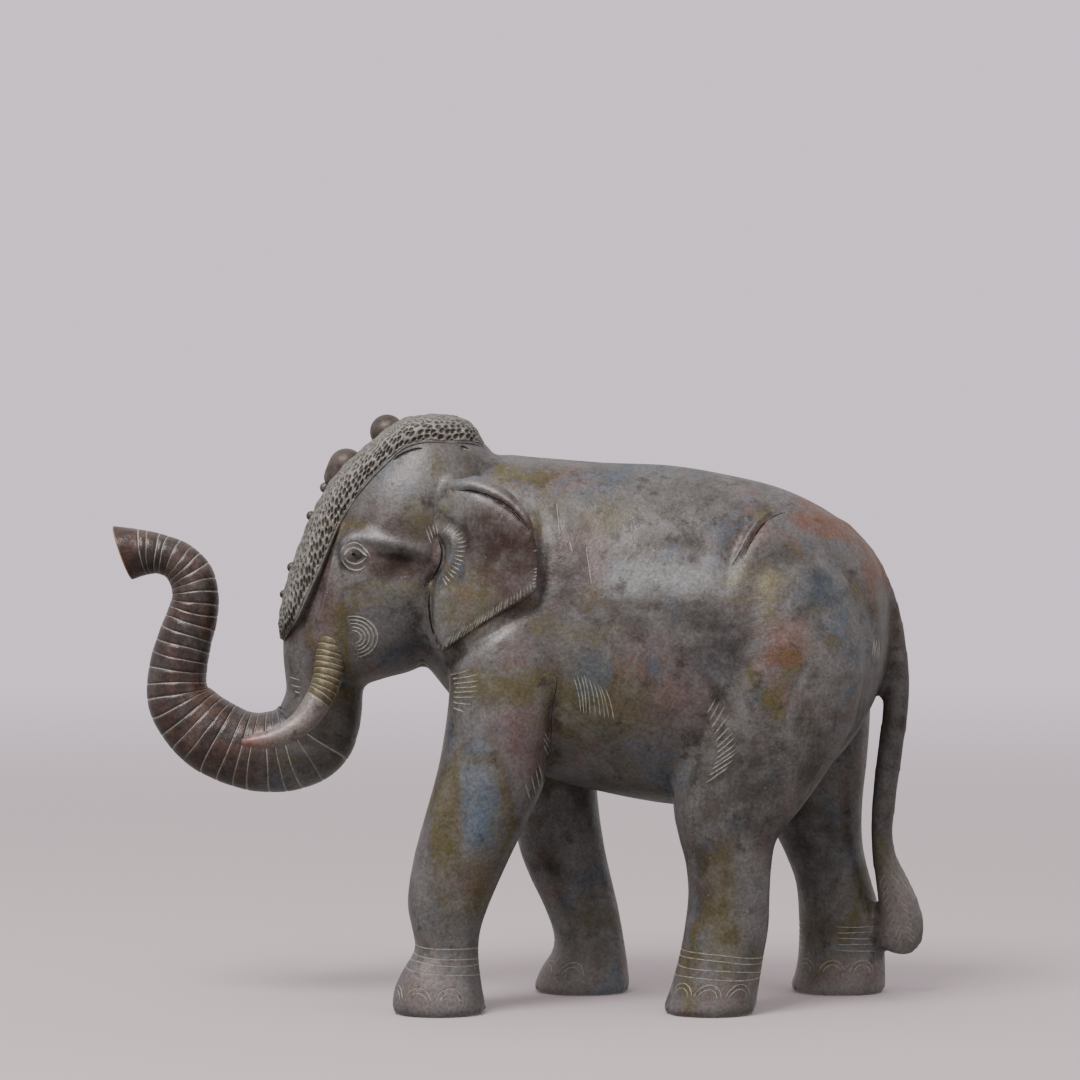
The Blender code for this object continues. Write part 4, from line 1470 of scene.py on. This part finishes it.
# %% Colours of the patina, as linear light
BROWN = (0.034, 0.025, 0.021)
GREY_BROWN = (0.088, 0.074, 0.067)
GREY = (0.128, 0.117, 0.113)
PINK = (0.140, 0.084, 0.078)
OLIVE = (0.092, 0.072, 0.020)
BLUE_GREY = (0.074, 0.096, 0.128)
# Pale blue: blue patina with a painted highlight, on the front of the near foreleg.
BLUE_PATINA_AND_HIGHLIGHT = (0.125, 0.165, 0.230)
BLUE_DARK = (0.030, 0.040, 0.055)
# Pale grey: painted highlight over some dust, on the flanks, forehead, brow and cheek.
DUST_AND_HIGHLIGHT_GREY = (0.235, 0.226, 0.228)
# Pale warm: painted highlight over some dust, on the feet and by the tail's tuft.
DUST_AND_HIGHLIGHT_WARM = (0.230, 0.190, 0.178)
RUST = (0.145, 0.044, 0.016)
CHOCOLATE = (0.040, 0.018, 0.013)
PALE = (0.45, 0.43, 0.38)
RESIDUE = (0.40, 0.385, 0.33)
DUST = (0.195, 0.182, 0.178)
PIT = (0.050, 0.032, 0.022)
# Near black: painted shade in the creases, inside the trunk's cup and on the pupil.
PAINTED_SHADE = (0.008, 0.006, 0.005)
BARE_METAL = (0.26, 0.12, 0.045)
TRUNK_BROWNS = ((0.030, 0.018, 0.016, 1.0), (0.088, 0.038, 0.028, 1.0))
IVORY = (0.330, 0.270, 0.258, 1.0)
TUSK_SHEATH = (0.100, 0.076, 0.022)
TUSK_TIP = (0.23, 0.085, 0.070)
BAND_GREY = (0.175, 0.158, 0.150, 1.0)
BOSS = (0.070, 0.044, 0.032)
BODY_TONES = [(0.30, BROWN), (0.40, GREY_BROWN), (0.48, GREY), (0.56, GREY_BROWN),
              (0.63, OLIVE), (0.70, GREY_BROWN)]

# %% Placed washes: middle in millimetres, half sizes, colour, strength
# Most washes are patina colours. Some are painted highlight over some dust: the pale grey ones on both
# flanks, the forehead, brow and cheek, the grey one low on the near flank, the pale warm ones on the
# feet, and the pale blue one on the near foreleg's front. The grey one under the jaw is painted light
# that lifts the shade there. The brown ones on the near neck, by the top of the near hind leg and over
# the two far legs are painted shade, and so is the near-black pupil.
WASHES = [
    ((160, 0, 244), (24, 70, 12), RUST, 1.0), ((176, 0, 226), (8, 70, 24), RUST, 0.85),
    ((128, -50, 183), (14, 34, 11), RUST, 0.75), ((100, -60, 184), (14, 26, 14), BROWN, 0.6),
    ((74, -62, 180), (22, 26, 12), PINK, 0.45), ((92, -62, 176), (14, 26, 16), BLUE_DARK, 0.4),
    ((133, 50, 183), (20, 34, 19), RUST, 0.5), ((2, -66, 136), (15, 24, 19), PINK, 0.8),
    ((74, -62, 190), (12, 26, 8), DUST_AND_HIGHLIGHT_GREY, 0.4), ((-20, -64, 106), (9, 22, 26), BLUE_PATINA_AND_HIGHLIGHT, 0.62),
    ((-36, -64, 90), (7, 20, 34), OLIVE, 0.7), ((-20, -64, 62), (9, 20, 20), OLIVE, 0.6),
    ((-8, -64, 160), (28, 26, 9), OLIVE, 0.8), ((36, -64, 152), (30, 30, 20), OLIVE, 0.6),
    ((34, -64, 168), (9, 26, 12), BLUE_GREY, 0.6), ((75, -64, 214), (30, 26, 12), DUST_AND_HIGHLIGHT_GREY, 0.8),
    ((40, -60, 244), (26, 30, 12), OLIVE, 0.5), ((30, -60, 222), (12, 26, 20), PINK, 0.55),
    ((20, -60, 226), (13, 26, 26), BROWN, 0.85), ((88, -50, 250), (30, 30, 12), GREY_BROWN, 0.7),
    ((87, -62, 183), (18, 26, 14), BROWN, 0.5), ((74, -62, 194), (30, 26, 10), BROWN, 0.5),
    ((108, -60, 216), (9, 24, 22), GREY_BROWN, 0.5), ((144, -52, 207), (12, 30, 13), BLUE_DARK, 0.9),
    ((127, -55, 222), (16, 30, 9), BROWN, 0.7), ((191, 0, 200), (7, 60, 34), CHOCOLATE, 0.85),
    ((120, -62, 204), (5, 26, 14), OLIVE, 0.75), ((60, -60, 120), (34, 26, 14), GREY, 0.5),
    ((107, -62, 116), (22, 26, 26), BROWN, 0.75), ((78, -64, 150), (16, 26, 18), PINK, 0.4),
    ((-20, -66, 205), (9, 20, 22), OLIVE, 0.8), ((-36, -60, 200), (7, 22, 18), OLIVE, 0.55),
    ((-4, -66, 206), (10, 20, 14), PINK, 0.5), ((-9, -60, 228), (20, 20, 20), CHOCOLATE, 1.0),
    ((-58, -44, 218.5), (15, 16, 8), CHOCOLATE, 1.0), ((-55, -44, 219), (9, 16, 5), CHOCOLATE, 1.0),
    ((-62, -44, 240), (17, 24, 11), CHOCOLATE, 0.6), ((-50, -44, 246), (7, 24, 12), OLIVE, 0.5),
    ((-38, -40, 256), (18, 30, 11), DUST_AND_HIGHLIGHT_GREY, 0.4), ((-66, -46, 192), (13, 24, 18), BLUE_GREY, 0.3),
    ((-56, -46, 200), (20, 24, 9), DUST_AND_HIGHLIGHT_GREY, 0.35), ((-50, -46, 186), (15, 24, 13), GREY, 0.8),
    ((-99, -44, 195), (9, 22, 34), PINK, 0.7), ((-76, -44, 231), (12, 20, 4), DUST_AND_HIGHLIGHT_GREY, 0.6),
    ((-80, -40, 223.5), (5.5, 9, 4.5), CHOCOLATE, 0.7), ((-52, -44, 262), (26, 26, 10), GREY, 0.5),
    ((-38, -64, 13), (18, 26, 14), DUST_AND_HIGHLIGHT_WARM, 0.8), ((-52, -64, 12), (8, 26, 8), PINK, 0.6),
    ((92, -64, 10), (20, 26, 13), DUST_AND_HIGHLIGHT_WARM, 0.2), ((160, 40, 12), (24, 30, 14), DUST_AND_HIGHLIGHT_WARM, 0.35),
    ((192, 0, 130), (10, 30, 60), BROWN, 0.7), ((22, 40, 10), (20, 30, 12), DUST_AND_HIGHLIGHT_WARM, 0.4),
    ((98, -64, 40), (10, 26, 20), OLIVE, 0.6), ((84, -64, 74), (14, 26, 28), BROWN, 0.5),
    ((98, -64, 60), (6, 26, 26), OLIVE, 0.5), ((22, -64, 182), (26, 26, 12), GREY, 0.5),
    ((188, 10, 46), (14, 40, 24), DUST_AND_HIGHLIGHT_WARM, 0.85), ((-79.8, -40, 223.7), (2.6, 9, 2.6), PAINTED_SHADE, 1.0),
    ((22, 45, 80), (22, 24, 44), BROWN, 1.0), ((30, 45, 36), (10, 26, 22), OLIVE, 0.6),
    ((155, 45, 80), (24, 26, 46), BROWN, 0.95), ((150, 45, 30), (12, 26, 20), OLIVE, 0.5),
    ((0, 66, 140), (18, 26, 22), PINK, 0.6), ((70, 64, 214), (30, 26, 14), DUST_AND_HIGHLIGHT_GREY, 0.7),
    ((60, 64, 150), (30, 26, 22), OLIVE, 0.6), ((-20, 64, 100), (12, 26, 26), BLUE_GREY, 0.6),
    ((40, 64, 194), (30, 26, 14), BROWN, 0.6), ((110, 60, 120), (22, 26, 26), BROWN, 0.6),
]


def washed(tree, coords, colour, washes):
    """Lays each wash over the colour: an ellipsoid that fades out, its edge torn by noise."""
    push = times_plus(tree, cloud(tree, coords, 60.0, 8.0, 0.62), 1.7, -0.85)
    for middle, half, tint, strength in washes:
        size = [1.0 / (1.5 * h * METRES) for h in half]
        place = [-c * METRES * s for c, s in zip(middle, size)]
        made = new_node(tree, "ShaderNodeTexGradient", gradient_type="SPHERICAL")
        feed(tree, made.inputs["Vector"], moved(tree, coords, place, size))
        fade = made.outputs["Fac"]
        soft = between(tree, maths(tree, "ADD", fade, push), -0.05, 0.8)
        faded = times(tree, soft, between(tree, fade, 0.0, 0.3))
        colour = tinted(tree, colour, tint, faded, strength)
    return colour


# %% Film, stain, grain and lines
def worn(tree, coords, colour, dust):
    """A pale film where clouds and streaks are strong or the skin stands up, then a brown
    stain where clouds are strong or it lies low. Both are a sum with the raised value."""
    raised = mark_of(tree, "raised")
    streak = cloud(tree, moved(tree, coords, scale=(1.0, 1.0, 0.14)), 330.0, 4.0, 0.65)
    slanted = moved(tree, coords, (0.2, 5.1, 0.4), (0.2, 1.0, 1.0), (0.0, 0.5, 0.0))
    brushed = cloud(tree, slanted, 300.0, 4.0, 0.65)
    streaks = maths(tree, "ADD", times(tree, streak, 0.16), times(tree, brushed, 0.06))
    film = maths(tree, "ADD", times(tree, cloud(tree, coords, 80.0, 8.0, 0.66), 0.78), streaks)
    film = between(tree, times_plus(tree, raised, 0.11, film), 0.46, 0.67)
    colour = tinted(tree, colour, DUST, film, dust)
    stain = cloud(tree, moved(tree, coords, (1.3, 8.8, 2.1)), 110.0, 8.0, 0.68)
    stain = between(tree, times_plus(tree, raised, -0.13, stain), 0.50, 0.69)
    return tinted(tree, colour, BROWN, stain, 0.8), film, streak


def grained(tree, coords, colour):
    """The colour times a fine noise, with a few pale specks."""
    grain = cloud(tree, coords, 620.0, 5.0, 0.72)
    shaded = new_node(tree, "ShaderNodeVectorMath", operation="SCALE")
    feed(tree, shaded.inputs[0], colour)
    feed(tree, shaded.inputs["Scale"], times_plus(tree, grain, 1.9, 0.06))
    speck = between(tree, cloud(tree, coords, 1150.0, 2.0, 0.5), 0.72, 0.76)
    return tinted(tree, shaded.outputs["Vector"], PALE, speck, 0.5), grain


def lined(tree, coords, colour):
    """Pale residue in the lines, broken by noise, then pits, painted shade in hollows, bare metal."""
    broken = between(tree, cloud(tree, coords, 420.0, 3.0, 0.6), 0.33, 0.55)
    line = times(tree, mark_of(tree, "residue"), times_plus(tree, broken, 0.5, 0.45))
    colour = mixed(tree, line, colour, (*RESIDUE, 1.0))
    # Hollow is painted shade, near black.
    for mark, tint in (("pit", PIT), ("hollow", PAINTED_SHADE), ("bare", BARE_METAL)):
        colour = tinted(tree, colour, tint, mark_of(tree, mark), 0.85)
    return colour, line


# %% The bronze material
def bronze(name, dust=0.36, gloss=0.38, special=None, washes=()):
    """Clouds of colour, washes and special tints, then film, stain, grain and lines. The
    bump is a sum of two noises and a streak."""
    material = bpy.data.materials.new(name)
    material.use_nodes = True
    tree = material.node_tree
    shader = tree.nodes["Principled BSDF"]
    coords = new_node(tree, "ShaderNodeTexCoord").outputs["Object"]
    colour = ramp(tree, cloud(tree, coords, 19.0, 6.0, 0.62, 0.9), BODY_TONES)
    for shift, scale, tint in (((3.1, 1.7, 5.3), 40.0, PINK),
                               ((7.7, 4.4, 0.6), 33.0, BLUE_GREY)):
        patch = cloud(tree, moved(tree, coords, shift), scale, 6.0, 0.66, 0.5)
        colour = tinted(tree, colour, tint, between(tree, patch, 0.53, 0.66), 0.75)
    colour = washed(tree, coords, colour, washes)
    if special:
        colour = special(tree, coords, colour)
    colour, film, streak = worn(tree, coords, colour, dust)
    colour, grain = grained(tree, coords, colour)
    colour, line = lined(tree, coords, colour)
    feed(tree, shader.inputs["Base Color"], colour)
    rough = times_plus(tree, cloud(tree, coords, 60.0, 6.0, 0.65), 0.5, gloss - 0.22)
    rough = times_plus(tree, film, 0.10, rough)
    feed(tree, shader.inputs["Roughness"], times_plus(tree, line, 0.25, rough))
    shader.inputs["Metallic"].default_value = 0.3
    height = times(tree, grain, 0.30)
    height = times_plus(tree, cloud(tree, coords, 130.0, 6.0, 0.6), 0.9, height)
    height = times_plus(tree, streak, 0.06, height)
    bump = new_node(tree, "ShaderNodeBump")
    bump.inputs["Strength"].default_value = 0.5
    bump.inputs["Distance"].default_value = 0.0010
    feed(tree, bump.inputs["Height"], height)
    feed(tree, shader.inputs["Normal"], bump.outputs["Normal"])
    return material


# %% Special colours of the trunk, tusks and band
def trunk_tint(tree, coords, colour):
    """Chocolate from the tip to the lower bend, fading to the head's grey at the root."""
    axis = new_node(tree, "ShaderNodeSeparateXYZ")
    feed(tree, axis.inputs[0], coords)
    wave = times_plus(tree, cloud(tree, coords, 40.0, 4.0), 0.05, -0.025)
    fade = between(tree, maths(tree, "ADD", axis.outputs["X"], wave), -0.108, -0.150)
    rubbed = between(tree, cloud(tree, coords, 70.0, 6.0, 0.7), 0.40, 0.62)
    brown = mixed(tree, rubbed, *TRUNK_BROWNS)
    return mixed(tree, times(tree, fade, 0.88), colour, brown)


def tusk_tint(tree, coords, colour):
    """Olive on the ringed sheath, pink on the smooth part and red-brown at the tip."""
    colour = mixed(tree, 0.6, colour, IVORY)
    colour = tinted(tree, colour, TUSK_SHEATH, mark_of(tree, "sheath"), 0.86)
    return tinted(tree, colour, TUSK_TIP, mark_of(tree, "tip"), 0.7)


def band_tint(tree, coords, colour):
    """Grey punched band, with brown polished bosses."""
    colour = mixed(tree, 0.4, colour, BAND_GREY)
    return tinted(tree, colour, BOSS, mark_of(tree, "boss"), 0.85)


skin.data.materials.clear()
skin.data.materials.append(bronze("patina", washes=WASHES))
trunk.data.materials.append(bronze("trunk_patina", dust=0.24, gloss=0.27, special=trunk_tint))
for piece in tusks:
    piece.data.materials.append(bronze("tusk_patina", dust=0.3, gloss=0.36, special=tusk_tint))
band.data.materials.append(bronze("band_patina", dust=0.45, special=band_tint))
print("materials:", [m.name for m in bpy.data.materials if m.users])

# %% [markdown]
# ## Fixing the pieces to the frame
# The figure is one casting, so every piece rides on the one body, and together they stand for
# the one CAD solid.

# %% Ride and replace
for piece in (skin, trunk, band, *tusks):
    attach(piece, "root")
    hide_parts("elephant")

# %% [markdown]
# ## Floor, light and camera
# The photograph was taken level and from far off with a long lens, on pale paper under one
# broad soft light. A long lens matters: it keeps the far legs nearly as large as the near ones.
# The paper glows a little near the feet and fades with distance into the same flat backdrop
# that the camera sees behind. What lights the figure is a sky that grows brighter with height.

# %% Floor
FLOOR_REACH = 30.0
BACKDROP = (0.985, 0.850, 0.955, 1.0)
PAPER_SHADE = (0.55, 0.465, 0.476, 1.0)
PAPER_GLOW = 0.06
BLACK = (0.0, 0.0, 0.0, 1.0)
floor_mesh = bpy.data.meshes.new("floor")
corners = [(-FLOOR_REACH, -FLOOR_REACH, 0), (FLOOR_REACH, -FLOOR_REACH, 0),
           (FLOOR_REACH, FLOOR_REACH, 0), (-FLOOR_REACH, FLOOR_REACH, 0)]
floor_mesh.from_pydata(corners, [], [(0, 1, 2, 3)])
floor = put_in_scene("floor", floor_mesh)
paper = bpy.data.materials.new("paper")
paper.use_nodes = True
tree = paper.node_tree
sheet = tree.nodes["Principled BSDF"]
far = new_node(tree, "ShaderNodeVectorMath", operation="LENGTH")
feed(tree, far.inputs[0], new_node(tree, "ShaderNodeTexCoord").outputs["Object"])
away = between(tree, far.outputs["Value"], 0.35, 4.0)
feed(tree, sheet.inputs["Base Color"], mixed(tree, away, PAPER_SHADE, BLACK))
sheet.inputs["Emission Color"].default_value = BACKDROP
glow = times_plus(tree, away, 1.0 - PAPER_GLOW, PAPER_GLOW)
feed(tree, sheet.inputs["Emission Strength"], glow)
sheet.inputs["Roughness"].default_value = 1.0
sheet.inputs["Specular IOR Level"].default_value = 0.0
floor_mesh.materials.append(paper)
floor.visible_diffuse = False
floor.visible_glossy = False
floor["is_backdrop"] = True

# %% Light
SKY = [(0.30, (0.36, 0.340, 0.335)), (0.50, (0.66, 0.635, 0.64)), (0.75, (0.76, 0.74, 0.75)),
       (1.0, (1.04, 1.01, 1.02))]
world = bpy.data.worlds.new("studio")
bpy.context.scene.world = world
world.use_nodes = True
studio = world.node_tree
sky = studio.nodes["Background"]
upward = new_node(studio, "ShaderNodeSeparateXYZ")
feed(studio, upward.inputs[0], new_node(studio, "ShaderNodeTexCoord").outputs["Generated"])
feed(studio, sky.inputs["Color"], ramp(studio, times_plus(studio, upward.outputs["Z"], 0.5, 0.5), SKY))
sky.inputs["Strength"].default_value = 1.0
wall = new_node(studio, "ShaderNodeBackground")
wall.inputs["Color"].default_value = BACKDROP
seen = new_node(studio, "ShaderNodeMixShader")
from_camera = new_node(studio, "ShaderNodeLightPath").outputs["Is Camera Ray"]
for socket, value in zip(seen.inputs, (from_camera, sky.outputs[0], wall.outputs[0])):
    feed(studio, socket, value)
feed(studio, studio.nodes["World Output"].inputs["Surface"], seen.outputs[0])


def soft_light(name, place, aim, size, power):
    """A square area lamp at a place, turned to an aim."""
    lamp = bpy.data.lights.new(name, "AREA")
    lamp.shape = "SQUARE"
    lamp.size = size
    lamp.energy = power
    holder = put_in_scene(name, lamp)
    holder.location = place
    holder.rotation_euler = (Vector(aim) - Vector(place)).to_track_quat("-Z", "Y").to_euler()


FIGURE_MIDDLE = (0.0, 0.0, 0.15)
soft_light("key", (-0.8, -1.3, 2.1), FIGURE_MIDDLE, 1.0, 56.0)
soft_light("fill", (1.8, -1.6, 1.3), FIGURE_MIDDLE, 1.2, 2.0)

# %% Camera
SENSOR = 36.0
lens = bpy.data.cameras.new("camera")
lens.sensor_width = SENSOR
lens.lens = FOCUS / PICTURE * SENSOR
camera = put_in_scene("camera", lens)
camera.location = Vector(CAMERA_AT) * METRES
camera.rotation_euler = (math.pi / 2.0, 0.0, 0.0)
bpy.context.scene.camera = camera
print("lens:", round(lens.lens, 1), "mm")

# %% [markdown]
# ## Last look at sizes
# The dressed model's box is printed, in millimetres. The dressed model has to stay
# inside the CAD box.

# %% Print the box and finish
low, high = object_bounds()
print("visual box, mm:", [round(1000 * v, 1) for v in (*low, *high)])
